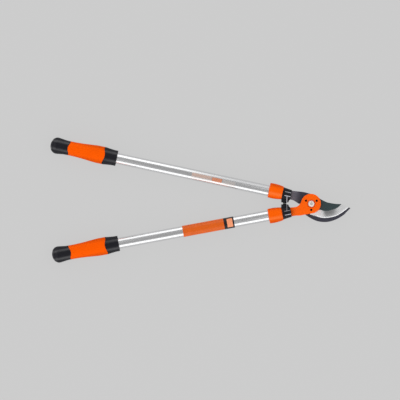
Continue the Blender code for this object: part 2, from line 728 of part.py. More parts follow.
def pad_shape(clearance, face):
    front = SNOUT_FRONT - PAD_BEHIND_FRONT + clearance
    back = SNOUT_FRONT - PAD_BEHIND_FRONT - PAD_LENGTH - clearance
    floor = SNOUT_STANDOFF + PAD_SEAT_DEPTH + clearance
    half_height = PAD_HALF_HEIGHT + clearance
    return box((back, face, -half_height), (front, floor, half_height))


def bumper_pad(name, side_frame):
    pad = pad_shape(0.0, GAP / 2)
    rims = [e for e in pad.edges if all(abs(v.co.y - GAP / 2) < 1e-6 for v in e.verts)]
    bmesh.ops.bevel(pad, geom=rims, offset=PAD_EDGE, segments=2, profile=0.5, affect="EDGES", material=-1)
    solid(name, pad, side_frame, (BLACK, 0.7, 0.0))


def rounded_ring(along, half_y, half_z, corner, shift):
    """A rounded rectangle across the handle's axis."""
    points = []
    for start, sy, sz in ((0, 1, 1), (90, -1, 1), (180, -1, -1), (270, 1, -1)):
        centre = (sy * (half_y - corner) + shift, sz * (half_z - corner))
        points += [(along, p.x, p.y) for p in arc(corner, start, start + 90, 5, centre)]
    return points


def ferrule(name, handle):
    """Sleeve over the end of the tube, flat above and below, drawn in towards its front."""
    rings = []
    for share, side_wall, top_wall in FERRULE_WALLS:
        along = FERRULE_START + share * FERRULE_LENGTH
        half_y = TUBE_RADIUS + side_wall
        half_z = TUBE_RADIUS + top_wall
        rings.append(rounded_ring(along, half_y, half_z, FERRULE_CORNER, -FERRULE_SHIFT))
    made = solid(name, lofted(rings), handle, (ORANGE, 0.4, 0.0), 30.0)
    bore_start = FERRULE_START + FERRULE_FRONT_WALL
    cut(made, "bore", rod(TUBE_RADIUS + GAP, bore_start, FERRULE_END + PAST), handle)
    slot_end = bore_start + FERRULE_FRONT_WALL
    cut(made, "tang_slot", tang_slot(TANG_TIP_HALF_WIDTH, FERRULE_START - PAST, slot_end), handle)


def tang_insert(name, handle):
    """Fills the tube round the flat tang."""
    shape = (
        (INSERT_START, 0), (INSERT_START, TUBE_RADIUS), (INSERT_START + INSERT_FLANGE, TUBE_RADIUS),
        (INSERT_START + INSERT_FLANGE, LINER_RADIUS), (INSERT_END, LINER_RADIUS), (INSERT_END, 0),
    )
    insert = solid(name, turned(shape, INNER_ROUND), handle, (NATURAL, 0.5, 0.0))
    cut(insert, "tang_slot", tang_slot(TANG_TIP_HALF_WIDTH, INSERT_START - PAST, TANG_END + GAP), handle)
    cross_holes(insert, handle)


def cross_holes(target, handle):
    for i, place in enumerate(PIN_PLACES):
        hole = rod(PIN_RADIUS + GAP, -PAST, PAST, SMALL_ROUND)
        cut(target, f"pin_hole_{i}", upright(hole, place), handle)


def tang_pins(prefix, handle):
    half_length = math.sqrt(TUBE_RADIUS**2 - PIN_RADIUS**2) - GAP
    for name, place in zip(("front", "rear"), PIN_PLACES):
        pin = upright(rod(PIN_RADIUS, -half_length, half_length, SMALL_ROUND), place)
        solid(f"{prefix}_tang_pin_{name}", pin, handle, (STEEL, 0.3, 1.0))


def outer_tube(name, handle):
    tube = solid(name, pipe(TUBE_RADIUS, TUBE_BORE, TUBE_START, TUBE_END), handle, (ALUMINIUM, 0.25, 1.0))
    cross_holes(tube, handle)


def guide_bush(name, handle):
    """Long liner in the mouth of the outer tube. Its front end stops the lock at full length."""
    bore = INNER_TUBE_RADIUS + RUNNING_GAP
    flange_front = TUBE_END + GAP
    flange_back = flange_front + BUSH_FLANGE
    shape = (
        (BUSH_START, bore), (BUSH_START, LINER_RADIUS), (flange_front, LINER_RADIUS),
        (flange_front, TUBE_RADIUS), (flange_back, TUBE_RADIUS), (flange_back, bore),
    )
    solid(name, turned(shape, INNER_ROUND, hollow=True), handle, (BLACK, 0.5, 0.0))


def lock_ring(name, slide):
    """Split ring with an off-centre bore, thick where the cam presses when it is locked."""
    half_slit = RING_SLIT / 2
    turn_out = math.degrees(math.asin(half_slit / LINER_RADIUS))
    turn_in = math.degrees(math.asin(half_slit / RING_BORE))
    outside = arc(LINER_RADIUS, 90 + turn_out, 450 - turn_out, INNER_ROUND)
    inside = arc(RING_BORE, 450 - turn_in, 90 + turn_in, INNER_ROUND, (0.0, RING_OFFSET))
    ring = lay_along_x(prism([*outside, *inside], RING_START, RING_END))
    solid(name, ring, slide, (NATURAL, 0.45, 0.0))


def lock_plug(name, grip):
    """Plug of the inner tube: end disc, off-centre cam inside the split ring, flange and shank."""
    flange_end = FLANGE_START + PLUG_FLANGE_THICKNESS
    shank_end = INNER_TUBE_START + PLUG_SHANK_LENGTH
    shank = INNER_BORE - GAP
    shape = (
        (FLANGE_START, 0), (FLANGE_START, INNER_TUBE_RADIUS), (flange_end, INNER_TUBE_RADIUS),
        (flange_end, shank), (shank_end, shank), (shank_end, 0),
    )
    plug = solid(name, turned(shape, INNER_ROUND), grip, (STEEL, 0.35, 0.6))
    disc = rod(INNER_TUBE_RADIUS, DISC_START, DISC_START + PLUG_DISC_THICKNESS, INNER_ROUND)
    join(plug, "end_disc", disc, grip)
    cam_start = DISC_START + PLUG_DISC_THICKNESS / 2
    cam = rod(CAM_RADIUS, cam_start, FLANGE_START + PLUG_FLANGE_THICKNESS / 2, INNER_ROUND)
    bmesh.ops.translate(cam, vec=(0, 0, -CAM_THROW), verts=cam.verts)
    join(plug, "cam", cam, grip)


def grip_pin_hole(target, grip):
    hole = rod(PIN_RADIUS + GAP, -PAST, PAST, SMALL_ROUND)
    cut(target, "pin_hole", upright(hole, GRIP_PIN_PLACE), grip)


def inner_tube(name, grip):
    shape = pipe(INNER_TUBE_RADIUS, INNER_BORE, INNER_TUBE_START, INNER_TUBE_END, INNER_ROUND)
    tube = solid(name, shape, grip, (ALUMINIUM, 0.25, 1.0))
    grip_pin_hole(tube, grip)


def grip_ring(place, sink=0.0, wave=0.0):
    """Oval ring of the grip at a distance from its front. A wave moves it on above and back below."""
    points = []
    for i in range(GRIP_ROUND):
        turn = math.tau * i / GRIP_ROUND
        here = place + wave * math.sin(turn)
        side_wall, top_wall = at(GRIP_WALLS, here / GRIP_LENGTH)
        y = (TUBE_RADIUS + side_wall - sink) * math.cos(turn)
        z = (TUBE_RADIUS + top_wall - sink) * math.sin(turn)
        points.append((GRIP_START + here, y, z))
    return points


def spread(start, end, count):
    """Places evenly between start and end, with neither of them."""
    return [start + (end - start) * k / (count + 1) for k in range(1, count + 1)]


def grip_core(name, grip):
    """Black body of the grip. It shows in front and behind, and has a seat for the cover between."""
    seat = COVER_THICKNESS + GAP
    cover_end = COVER_START + COVER_LENGTH
    seat_start = COVER_START - GAP
    seat_end = cover_end + GAP
    rings = [grip_ring(0.0, GRIP_FRONT_EDGE), grip_ring(GRIP_FRONT_EDGE)]
    rings += [grip_ring(place) for place in spread(GRIP_FRONT_EDGE, seat_start - COVER_WAVE, 3)]
    rings += [grip_ring(seat_start, 0.0, -COVER_WAVE), grip_ring(seat_start, seat, -COVER_WAVE)]
    rings += [grip_ring(place, seat) for place in spread(COVER_START, cover_end, 4)]
    rings += [grip_ring(seat_end, seat, COVER_WAVE), grip_ring(seat_end, 0.0, COVER_WAVE)]
    rings += [grip_ring(place) for place in spread(seat_end + COVER_WAVE, CORE_LENGTH, 5)]
    rings += [grip_ring(CORE_LENGTH)]
    core = solid(name, lofted(rings), grip, (BLACK, 0.5, 0.0), 35.0)
    bores = (
        (GRIP_START - PAST, 0), (GRIP_START - PAST, CORE_COUNTERBORE), (GRIP_FLOOR, CORE_COUNTERBORE),
        (GRIP_FLOOR, CORE_BORE), (CAP_START + PAST, CORE_BORE), (CAP_START + PAST, 0),
    )
    cut(core, "bores", turned(bores, INNER_ROUND), grip)
    grip_pin_hole(core, grip)


def grip_cover(name, grip):
    """Orange sleeve round the core, longer above than below."""
    end = COVER_START + COVER_LENGTH
    outer = [grip_ring(COVER_START, 0.0, -COVER_WAVE)]
    outer += [grip_ring(place) for place in spread(COVER_START, end, 8)]
    outer += [grip_ring(end, 0.0, COVER_WAVE)]
    inner = [grip_ring(end, COVER_THICKNESS, COVER_WAVE)]
    inner += [grip_ring(place, COVER_THICKNESS) for place in spread(end, COVER_START, 4)]
    inner += [grip_ring(COVER_START, COVER_THICKNESS, -COVER_WAVE)]
    solid(name, lofted([*outer, *inner], ends_closed=False), grip, (ORANGE, 0.45, 0.0), 35.0)


def grip_cap(name, grip):
    """The tip of the grip's crown, an ellipse, plugged into the bore of the core."""
    first = math.asin(1 - CAP_LENGTH / CROWN_DEPTH)
    rings = []
    for turn in CAP_TURNS:
        angle = first + math.radians(turn)
        across = math.cos(angle) / math.cos(first)
        along = CAP_START + CROWN_DEPTH * (math.sin(angle) - math.sin(first))
        rings.append([(along, y * across, z * across) for _, y, z in grip_ring(CORE_LENGTH)])
    cap = solid(name, lofted(rings), grip, (BLACK, 0.5, 0.0), 40.0)
    plug = rod(INNER_TUBE_RADIUS, CAP_START - CAP_PLUG_LENGTH, CAP_START + CAP_LENGTH / 2, INNER_ROUND)
    join(cap, "plug", plug, grip)


def grip_pin(name, grip):
    """Holds the core on the inner tube. The cover hides its ends."""
    top_wall = at(GRIP_WALLS, (GRIP_PIN_PLACE - GRIP_START) / GRIP_LENGTH)[1]
    half_length = TUBE_RADIUS + top_wall - COVER_THICKNESS - GAP - GRIP_PIN_SUNK
    pin = upright(rod(PIN_RADIUS, -half_length, half_length, SMALL_ROUND), GRIP_PIN_PLACE)
    solid(name, pin, grip, (STEEL, 0.3, 1.0))


def handle_set(prefix, half, turn_over):
    """All that one handle holds. The lower handle is the upper one turned over about the middle line."""
    side_frame = empty(f"{prefix}_side", half, turn_over)
    along = Matrix.Translation((HANDLE_CROSSING, 0, 0)) @ Matrix.Rotation(math.pi - HANDLE_ANGLE, 4, "Z")
    handle = empty(f"{prefix}_handle_axis", side_frame, along)
    slide = empty(f"{prefix}_lock_slide", handle, Matrix.Translation((DRAWN_OUT[prefix], 0, 0)))
    grip = empty(f"{prefix}_grip_turn", slide, Matrix())
    bumper_collar(f"{prefix}_bumper_collar", side_frame, handle)
    bumper_pad(f"{prefix}_bumper_pad", side_frame)
    ferrule(f"{prefix}_ferrule", handle)
    tang_insert(f"{prefix}_tang_insert", handle)
    tang_pins(prefix, handle)
    outer_tube(f"{prefix}_outer_tube", handle)
    guide_bush(f"{prefix}_guide_bush", handle)
    lock_ring(f"{prefix}_lock_ring", slide)
    lock_plug(f"{prefix}_lock_plug", grip)
    inner_tube(f"{prefix}_inner_tube", grip)
    grip_core(f"{prefix}_grip_core", grip)
    grip_cover(f"{prefix}_grip_cover", grip)
    grip_cap(f"{prefix}_grip_cap", grip)
    grip_pin(f"{prefix}_grip_pin", grip)
    return handle


def stand_on_floor(root):
    """Moves the tool so that the world's origin is at the middle of its base."""
    bpy.context.view_layer.update()
    graph = bpy.context.evaluated_depsgraph_get()
    points = []
    for obj in bpy.data.objects:
        if obj.type == "MESH" and not obj.hide_render:
            shown = obj.evaluated_get(graph)
            points += [shown.matrix_world @ v.co for v in shown.data.vertices]
    low = Vector([min(p[i] for p in points) for i in range(3)])
    high = Vector([max(p[i] for p in points) for i in range(3)])
    root.location = (-(low.x + high.x) / 2, -(low.y + high.y) / 2, -low.z)
    print("pivot at", [round(v, 6) for v in root.location], "size", [round(v, 5) for v in high - low])


def build():
    clear_scene()
    root = empty("lopper", None, Matrix())
    hook_half = empty("hook_half", root, Matrix())
    blade_half = empty("blade_half", root, Matrix())
    upper = handle_set("upper", hook_half, Matrix())
    lower = handle_set("lower", blade_half, Matrix.Rotation(math.pi, 4, "X"))
    hook_blade(hook_half, upper)
    cutting_blade(blade_half)
    lever_arm(blade_half, lower)
    pivot_set(blade_half)
    blade_screws(blade_half)
    stand_on_floor(root)


build()
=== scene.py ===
import json
import math

import bmesh
import bpy
from mathutils import Matrix, Vector


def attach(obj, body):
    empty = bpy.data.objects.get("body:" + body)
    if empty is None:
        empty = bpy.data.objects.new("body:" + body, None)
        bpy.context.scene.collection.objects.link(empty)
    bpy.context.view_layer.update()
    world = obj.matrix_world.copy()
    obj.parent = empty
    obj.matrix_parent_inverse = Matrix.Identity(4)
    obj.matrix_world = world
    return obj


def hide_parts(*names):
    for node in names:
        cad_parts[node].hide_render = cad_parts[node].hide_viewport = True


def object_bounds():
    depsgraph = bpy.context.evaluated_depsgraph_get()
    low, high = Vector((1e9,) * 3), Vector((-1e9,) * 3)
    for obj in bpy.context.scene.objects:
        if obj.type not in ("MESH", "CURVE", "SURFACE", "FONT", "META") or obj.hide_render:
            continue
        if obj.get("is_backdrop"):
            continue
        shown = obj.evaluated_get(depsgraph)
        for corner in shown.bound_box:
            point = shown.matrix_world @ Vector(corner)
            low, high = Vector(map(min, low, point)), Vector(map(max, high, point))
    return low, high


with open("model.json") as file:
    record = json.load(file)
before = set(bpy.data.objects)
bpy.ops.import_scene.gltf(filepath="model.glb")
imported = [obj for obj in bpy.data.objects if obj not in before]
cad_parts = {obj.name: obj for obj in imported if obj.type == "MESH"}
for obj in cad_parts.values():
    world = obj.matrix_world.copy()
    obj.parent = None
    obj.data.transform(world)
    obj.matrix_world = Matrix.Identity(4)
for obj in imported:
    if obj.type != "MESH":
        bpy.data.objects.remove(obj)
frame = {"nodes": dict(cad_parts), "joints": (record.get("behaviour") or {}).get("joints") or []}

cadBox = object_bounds()
nodes = frame["nodes"]
joints = {joint["name"]: joint for joint in frame["joints"]}
pivotPoint = Vector(joints["pivot"]["pos_m"])
headPlace = Matrix.Translation(pivotPoint)
turnOver = {"upper": 1, "lower": -1}
halfBody = {"upper": "hook_half", "lower": "blade_half"}
gap = 0.0003  # between neighbouring pieces
beyond = 0.02  # how far a cutter reaches past what it cuts
touching = 1e-7  # closer points are one


# Places

def sidePlace(side):
    # the lower half's moulded pieces are the upper ones turned over
    return headPlace @ Matrix.Rotation(0.0 if side == "upper" else math.pi, 4, "X")


def handlePlace(side):
    # x runs back along the tube from where the handles' axes cross, y towards the other handle
    along = Vector(joints[side + "_extend"]["axis"]).normalized()
    inward = Vector((-along.y, along.x, 0)) * turnOver[side]
    place = Matrix((along, inward, along.cross(inward))).transposed().to_4x4()
    place.translation = Vector(joints[side + "_twist"]["pos_m"])
    return place


def extent(node, place=headPlace):
    # lowest and highest corner of a CAD node in a place's own axes
    back = place.inverted()
    points = [back @ vertex.co for vertex in nodes[node].data.vertices]
    return [Vector([pick(point[axis] for point in points) for axis in range(3)]) for pick in (min, max)]


handleAngle = math.acos(-handlePlace("upper")[0][0])
crossing = handlePlace("upper").translation.x - pivotPoint.x
tubeRadius = extent("upper_outer_tube", handlePlace("upper"))[1].z


# Shader maths

class Wire:
    # a socket that takes operators, each of which adds its Math node
    def __init__(self, graph, socket):
        self.graph = graph
        self.socket = socket

    def math(self, operation, *others):
        return self.graph.node("ShaderNodeMath", {"operation": operation}, dict(enumerate((self, *others))))

    def __add__(self, other):
        return self.math("ADD", other)

    def __mul__(self, other):
        return self.math("MULTIPLY", other)

    def __sub__(self, other):
        return self.math("SUBTRACT", other)

    def __rsub__(self, other):
        return self.graph.node("ShaderNodeMath", {"operation": "SUBTRACT"}, {0: other, 1: self})

    __radd__ = __add__
    __rmul__ = __mul__

    def between(self, low, high):
        return self.math("GREATER_THAN", low) * self.math("LESS_THAN", high)


class Graph:
    # a node tree, with one way to add any node to it
    def __init__(self, tree):
        self.tree = tree

    def node(self, kind, settings=None, values=None, output=0):
        made = self.tree.nodes.new(kind)
        for name, value in (settings or {}).items():
            setattr(made, name, value)
        for socket, value in (values or {}).items():
            self.feed(made.inputs[socket], value)
        return Wire(self, made.outputs[output])

    def feed(self, socket, value):
        if isinstance(value, Wire):
            self.tree.links.new(value.socket, socket)
        else:
            socket.default_value = value

    def axis(self, where, name):
        return self.node("ShaderNodeSeparateXYZ", {}, {0: where}, name)

    def mix(self, factor, one, other):
        # sockets 6 and 7 and output 2 are the node's colours
        one, other = (value if isinstance(value, Wire) else (*value, 1.0) for value in (one, other))
        return self.node("ShaderNodeMix", {"data_type": "RGBA"}, {0: factor, 6: one, 7: other}, 2)

    def noise(self, where, scale, detail=2.0, roughness=0.5):
        values = {"Vector": where, "Scale": scale, "Detail": detail, "Roughness": roughness}
        return self.node("ShaderNodeTexNoise", {}, values)

    def stretched(self, where, amounts):
        return self.node("ShaderNodeVectorMath", {"operation": "MULTIPLY"}, {0: where, 1: amounts})

    def ramp(self, value, low, high):
        # nothing at low, one at high, smooth between
        limits = {"Value": value, "From Min": low, "From Max": high}
        return self.node("ShaderNodeMapRange", {"interpolation_type": "SMOOTHSTEP"}, limits)

    def band(self, value, centre, half):
        # one at the centre, nothing half a width away
        return self.ramp((value - centre).math("ABSOLUTE"), half, 0.0)


class Look(Graph):
    # a material and its shader's fixed values
    def __init__(self, name, colour, roughness, metallic=0.0, **fixed):
        self.material = bpy.data.materials.new(name)
        self.material.use_nodes = True
        self.material.diffuse_color = (*colour, 1.0)
        super().__init__(self.material.node_tree)
        self.shader = self.tree.nodes["Principled BSDF"]
        self.set("Base Color", (*colour, 1.0))
        self.set("Roughness", roughness)
        self.set("Metallic", metallic)
        for socket, value in fixed.items():
            self.set(socket.replace("_", " "), value)

    def set(self, socket, value):
        self.feed(self.shader.inputs[socket], value)

    def place(self, source):
        # a piece's own coordinates, or for a CAD node the object's
        if source == "object":
            return self.node("ShaderNodeTexCoord", output="Object")
        return self.node("ShaderNodeAttribute", {"attribute_name": source}, output="Vector")

    def bump(self, height, distance):
        self.set("Normal", self.node("ShaderNodeBump", {}, {"Height": height, "Distance": distance}))

    def paint(self, tone):
        self.tone = tone
        self.set("Base Color", tone)

    def overlay(self, factor, colour):
        # lays another colour over the one painted so far
        self.paint(self.mix(factor, self.tone, colour))

    def tones(self, pattern, colour, low, high):
        # the colour between two of its shades, as a pattern says
        self.paint(self.mix(pattern, shade(colour, low), shade(colour, high)))

    def own(self, names):
        # axes of the piece's own coordinates
        where = self.place("own")
        return [self.axis(where, name) for name in names]


def shade(colour, factor):
    return tuple(min(1.0, channel * factor) for channel in colour)


def uneven(base, *patterns):
    # a value that noises move, each by its swing
    for noise, swing in patterns:
        base = base + (noise - 0.5) * swing
    return base


# Finishes

finish = {
    "orange": (0.98, 0.118, 0.001),
    "orangeGrip": (0.98, 0.104, 0.0005),
    # painted highlight and painted shade for the orange mouldings
    "paintedHighlightOrange": (0.98, 0.18, 0.03),
    "paintedShadeOrange": (0.7, 0.08, 0.001),
    "black": (0.01, 0.01, 0.013),
    "gripBlack": (0.01, 0.01, 0.014),
    # painted highlight for the collars' ribs
    "paintedRidgeHighlight": (0.52, 0.52, 0.56),
    "rubber": (0.01, 0.01, 0.011),
    "hookCoat": (0.033, 0.032, 0.048),
    # painted sheen on the hook's tang
    "tangSheen": (0.22, 0.2, 0.235),
    "bladeCoat": (0.034, 0.054, 0.058),
    "groundSteel": (0.785, 0.785, 0.79),
    "honedSteel": (0.93, 0.93, 0.94),
    "tube": (0.8, 0.803, 0.812),
    "steel": (0.7, 0.685, 0.66),
    # the blade screws' near-black, reddish tone is partly their black oxide and partly painted shade of the
    # holes they sit in
    "darkScrew": (0.02, 0.012, 0.01),
    "boltSteel": (0.69, 0.66, 0.62),
    "nylon": (0.55, 0.54, 0.5),
    "printOrange": (0.6, 0.15, 0.025),
    "printBrown": (0.58, 0.22, 0.07),
    "printGrey": (0.48, 0.3, 0.18),
    "labelOrange": (0.7, 0.112, 0.006),
    "labelPale": (0.9, 0.34, 0.17),
}

# the noises' densities, the shades a colour varies between, how far each noise moves the gloss
plastic = {"broad": 60.0, "fineGloss": 0.12, "broadGloss": 0.14}
metal = {"broad": 45.0, "shades": (0.93, 1.05), "lineGloss": 0.1, "broadGloss": 0.06, "grain": (900.0,) * 3}
bright = {"roughness": 0.22, "lines": (5.0, 2600.0, 2600.0), "depth": 0.000003, "speckle": 900.0,
          "inkRoughness": 0.25}
ground = {"lines": (2600.0, 25.0, 1.0), "bands": (95.0, 4.0, 1.0), "lineShare": 0.6, "shades": (0.86, 1.06),
          "lineGloss": 0.16, "bandGloss": 0.12, "depth": 0.000008}
# a smoother patch on the bevel, darkened there by painted shade
bevelSmoothPatchPaintedDark = {"begins": (0.0275, 0.04), "fades": (0.049, 0.074), "fade": 0.62, "depth": (0.003, 0.016),
              "depthFade": 0.35, "darker": 0.49, "smoother": 0.54}
polishedStrips = ((-0.01, 0.0048), (0.0078, 0.0048))  # on the grips, middle and half width
tangSheen = (-0.022, -0.052)  # where it begins and where it is full
# noise that breaks up the painted highlight on the collars' ribs
highlightBreakup = {"density": 500.0, "least": 0.55, "varies": 0.9}


def moulded(name, tint, roughness, grain=0.0006, depth=0.00002, mottle=0.07, source="own", **fixed):
    # plastic or rubber with a fine grain and uneven gloss
    look = Look(name, finish[tint], roughness, **fixed)
    where = look.place(source)
    fine = look.noise(where, 1 / grain, 3.0, 0.6)
    broad = look.noise(where, plastic["broad"], 3.0)
    look.tones(broad, finish[tint], 1 - mottle, 1 + mottle)
    look.set("Roughness", uneven(roughness, (fine, plastic["fineGloss"]), (broad, plastic["broadGloss"])))
    look.bump(fine, depth)
    return look


def drawn(name, tint, roughness, lines=metal["grain"], depth=0.000006, source="own"):
    # metal with fine lines; lines says how fast the pattern changes along x, y and z
    look = Look(name, finish[tint], roughness, 1.0)
    where = look.place(source)
    streaks = look.noise(look.stretched(where, lines), 1.0, 3.0, 0.65)
    broad = look.noise(where, metal["broad"])
    look.tones(streaks, finish[tint], *metal["shades"])
    look.set("Roughness", uneven(roughness, (streaks, metal["lineGloss"]), (broad, metal["broadGloss"])))
    look.bump(streaks, depth)
    return look


def orangeLook(name, tint, roughness, grain, depth, specular, pale=None, paintedShade=(0.0095, 0.018)):
    # orange moulding, with painted shade darkening it towards its sides and a painted highlight along one
    # strip
    look = moulded(name, tint, roughness, grain, depth, Specular_IOR_Level=specular)
    across = look.own("Y")[0]
    if pale:
        look.overlay(look.band(across, *pale), finish["paintedHighlightOrange"])
    look.overlay(look.ramp(across.math("ABSOLUTE"), *paintedShade), finish["paintedShadeOrange"])
    return look


def gripLook():
    # black grip plastic, polished by the hand along two strips
    look = moulded("gripBlack", "gripBlack", 0.42, 0.0007, 0.00004, 0.12,
                   Specular_IOR_Level=0.15, Coat_Roughness=0.34)
    across = look.own("Y")[0]
    outer, inner = (look.band(across, *strip) for strip in polishedStrips)
    look.set("Coat Weight", outer + inner)
    return look


def tubeLook(name, marks=()):
    # bright drawn tube; marks are plain bars as (low x, high x, low y, high y, cover, ink)
    look = drawn(name, "tube", bright["roughness"], bright["lines"], bright["depth"])
    if marks:
        x, y, z = look.own("XYZ")
        speckle = look.noise(look.place("own"), bright["speckle"])
        printed = 0.0
        for lowX, highX, lowY, highY, cover, ink in marks:
            mask = x.between(lowX, highX) * y.between(lowY, highY) * z.math("GREATER_THAN", 0.0)
            mask = mask * (speckle + 0.5) * cover
            look.overlay(mask, finish[ink])
            printed = mask + printed
        look.set("Metallic", 1.0 - printed)
        look.set("Roughness", printed * bright["inkRoughness"] + bright["roughness"])
    return look


def hookLook():
    # a painted sheen lightens the tang towards the collar
    look = moulded("hookCoating", "hookCoat", 0.42, 0.0006, 0.00001, 0.12, Specular_IOR_Level=0.4)
    look.overlay(look.ramp(look.own("X")[0], *tangSheen), finish["tangSheen"])
    return look


def groundLook(name, roughness, metallic=1.0, smoothPatchPaintedDark=None):
    # ground steel with fine lines across the bevel, along the piece's grind attribute
    look = Look(name, finish[name], roughness, metallic)
    where = look.place("grind")
    lines = look.noise(look.stretched(where, ground["lines"]), 1.0, 3.0, 0.7)
    bands = look.noise(look.stretched(where, ground["bands"]), 1.0, 1.0)
    share = ground["lineShare"]
    look.tones(lines * share + bands * (1 - share), finish[name], *ground["shades"])
    gloss = uneven(roughness, (lines, ground["lineGloss"]), (bands, ground["bandGloss"]))
    if smoothPatchPaintedDark:
        # ground smoother from one place along it on, and darker there by painted shade that stands for a
        # dark reflection
        along = look.axis(where, "X")
        mask = 1.0 - look.ramp(along, *smoothPatchPaintedDark["fades"]) * smoothPatchPaintedDark["fade"]
        mask = mask * (1.0 - look.ramp(look.axis(where, "Y"), *smoothPatchPaintedDark["depth"]) * smoothPatchPaintedDark["depthFade"])
        mask = mask * look.ramp(along, *smoothPatchPaintedDark["begins"])
        look.overlay(mask, shade(finish[name], smoothPatchPaintedDark["darker"]))
        gloss = gloss - mask * smoothPatchPaintedDark["smoother"]
    look.set("Roughness", gloss)
    look.bump(lines, ground["depth"])
    return look


def labelLook():
    # plain orange wrap, with a pale panel in a black band at its front end
    look = moulded("labelWrap", "labelOrange", 0.34, 0.0011, 0.000006, 0.09,
                   Specular_IOR_Level=0.2, Coat_Weight=0.12)
    x, y = look.own("XY")
    look.overlay(x.math("LESS_THAN", label["bandEnd"]), finish["black"])
    panel = x.between(*label["panel"]) * y.between(-label["panelHalf"], label["panelHalf"])
    look.overlay(panel, finish["labelPale"])
    return look


def collarLook(crests):
    # black moulding with a painted highlight along its ribs, which run along the handle or the head
    look = moulded("collarPlastic", "black", 0.4, 0.0005, 0.00002, 0.12, Specular_IOR_Level=0.15)
    x, y = look.own("XY")
    runs = {"handle": x, "head": x * math.cos(handleAngle) + y * math.sin(handleAngle)}
    lines = 0.0
    for run, along, across, ridgeHighlight in crests:
        lines = runs[run].between(*along) * y.between(*across) * ridgeHighlight + lines
    # the painted highlight along the ribs, broken up by a noise
    highlightNoise = look.noise(look.place("own"), highlightBreakup["density"], 4.0, 0.65)
    look.overlay(lines * (highlightBreakup["least"] + highlightNoise * highlightBreakup["varies"]), finish["paintedRidgeHighlight"])
    return look


looks = {look.material.name: look for look in (
    # each side's ferrule gets its own copy, with its painted highlight strip where the light falls on that
    # side
    *(orangeLook(side + "FerruleOrange", "orange", 0.4, 0.0006, 0.00002, 0.04, (pale, 0.0062),
                 (0.0085, 0.0165)) for side, pale in (("upper", 0.0046), ("lower", -0.0085))),
    # the grip cover gets the painted shade towards its sides, and no painted highlight
    orangeLook("orangeGrip", "orangeGrip", 0.5, 0.0009, 0.00004, 0.02),
    moulded("orangePaint", "orange", 0.4, 0.0012, 0.00003, Specular_IOR_Level=0.1),
    moulded("blackPlastic", "black", 0.4, 0.0005, 0.00002, 0.12),
    gripLook(),
    moulded("blackRubber", "rubber", 0.65, 0.0005, 0.00003, 0.1, "object"),
    hookLook(),
    moulded("bladeCoating", "bladeCoat", 0.4, 0.0005, 0.000008, 0.1, metallic=0.3, Specular_IOR_Level=0.35),
    groundLook("groundSteel", 0.8, smoothPatchPaintedDark=bevelSmoothPatchPaintedDark),
    groundLook("honedSteel", 0.7, 0.35),
    tubeLook("drawnTube"),
    drawn("platedSteel", "steel", 0.26),
    drawn("platedSteelNode", "steel", 0.26, source="object"),
    drawn("boltSteel", "boltSteel", 0.5),
    # blade screws: black oxide, darkened further by painted shade of their holes
    moulded("darkScrew", "darkScrew", 0.6, source="object", Specular_IOR_Level=0.1),
    moulded("naturalNylon", "nylon", 0.5, 0.0006, 0.00001, 0.05, "object"),
)}
print("finishes made")


# Shapes

def spread(low, high, count):
    # evenly spaced values, both ends among them
    return [low + (high - low) * step / count for step in range(count + 1)]


def mirrored(half):
    # an outline's half, then its other half back the way it came
    return [*half, *((x, -y) for x, y in reversed(half))]


def curveThrough(points, steps=9):
    # a smooth curve through the points
    ends = [Vector(point) for point in points]
    ends = [2 * ends[0] - ends[1], *ends, 2 * ends[-1] - ends[-2]]
    curve = []
    for before, start, end, after in zip(ends, ends[1:], ends[2:], ends[3:]):
        for t in spread(0.0, 1.0, steps)[:-1]:
            bend = (2 * before - 5 * start + 4 * end - after) * t**2
            twist = (3 * start - before - 3 * end + after) * t**3
            curve.append(0.5 * (2 * start + (end - before) * t + bend + twist))
    return [*curve, Vector(points[-1])]


def outward(bm):
    # makes a closed shape look outwards, and its volume tells whether it does
    bmesh.ops.recalc_face_normals(bm, faces=bm.faces)
    if bm.calc_volume(signed=True) < 0:
        bmesh.ops.reverse_faces(bm, faces=bm.faces)
    return bm


def moved(bm, place):
    bmesh.ops.transform(bm, matrix=place, verts=bm.verts)
    return bm


def arcPoints(radius, start, end, steps):
    angles = [math.radians(angle) for angle in spread(start, end, steps)]
    return [Vector((radius * math.cos(angle), radius * math.sin(angle))) for angle in angles]


def hexagon(radius):
    return arcPoints(radius, 0, 300, 5)


def softened(profile, radius, steps=3, closed=False):
    # the profile with its corners rounded, apart from an open one's ends
    points = [Vector(point) for point in profile]
    most = 0.45  # of a neighbouring side
    result = []
    for index, corner in enumerate(points):
        if not closed and index in (0, len(points) - 1):
            result.append(corner)
            continue
        before, after = points[index - 1] - corner, points[(index + 1) % len(points)] - corner
        reach = min(radius, before.length * most, after.length * most)
        start, end = corner + before.normalized() * reach, corner + after.normalized() * reach
        for t in spread(0.0, 1.0, steps):
            result.append(start * (1 - t) ** 2 + corner * 2 * t * (1 - t) + end * t**2)
    return result


def spun(profile, steps=96, hollow=False):
    # a profile of (along x, radius) turned about x
    bm = bmesh.new()
    points = [bm.verts.new((x, 0, r)) for x, r in profile]
    pairs = list(zip(points, points[1:]))
    if hollow:
        pairs.append((points[-1], points[0]))
    edges = [bm.edges.new(pair) for pair in pairs]
    bmesh.ops.spin(bm, geom=[*points, *edges], axis=(1, 0, 0), cent=(0, 0, 0), angle=math.tau,
                   steps=steps, use_merge=True, use_duplicate=False)
    bmesh.ops.remove_doubles(bm, verts=bm.verts, dist=touching)
    return bm


def turnedRing(corners, rounding, steps):
    # a closed profile turned about x, with its corners rounded
    return spun(softened(corners, rounding, closed=True), steps, True)


def pipe(low, high, inner, outer, rounding, steps):
    return turnedRing(((low, inner), (low, outer), (high, outer), (high, inner)), rounding, steps)


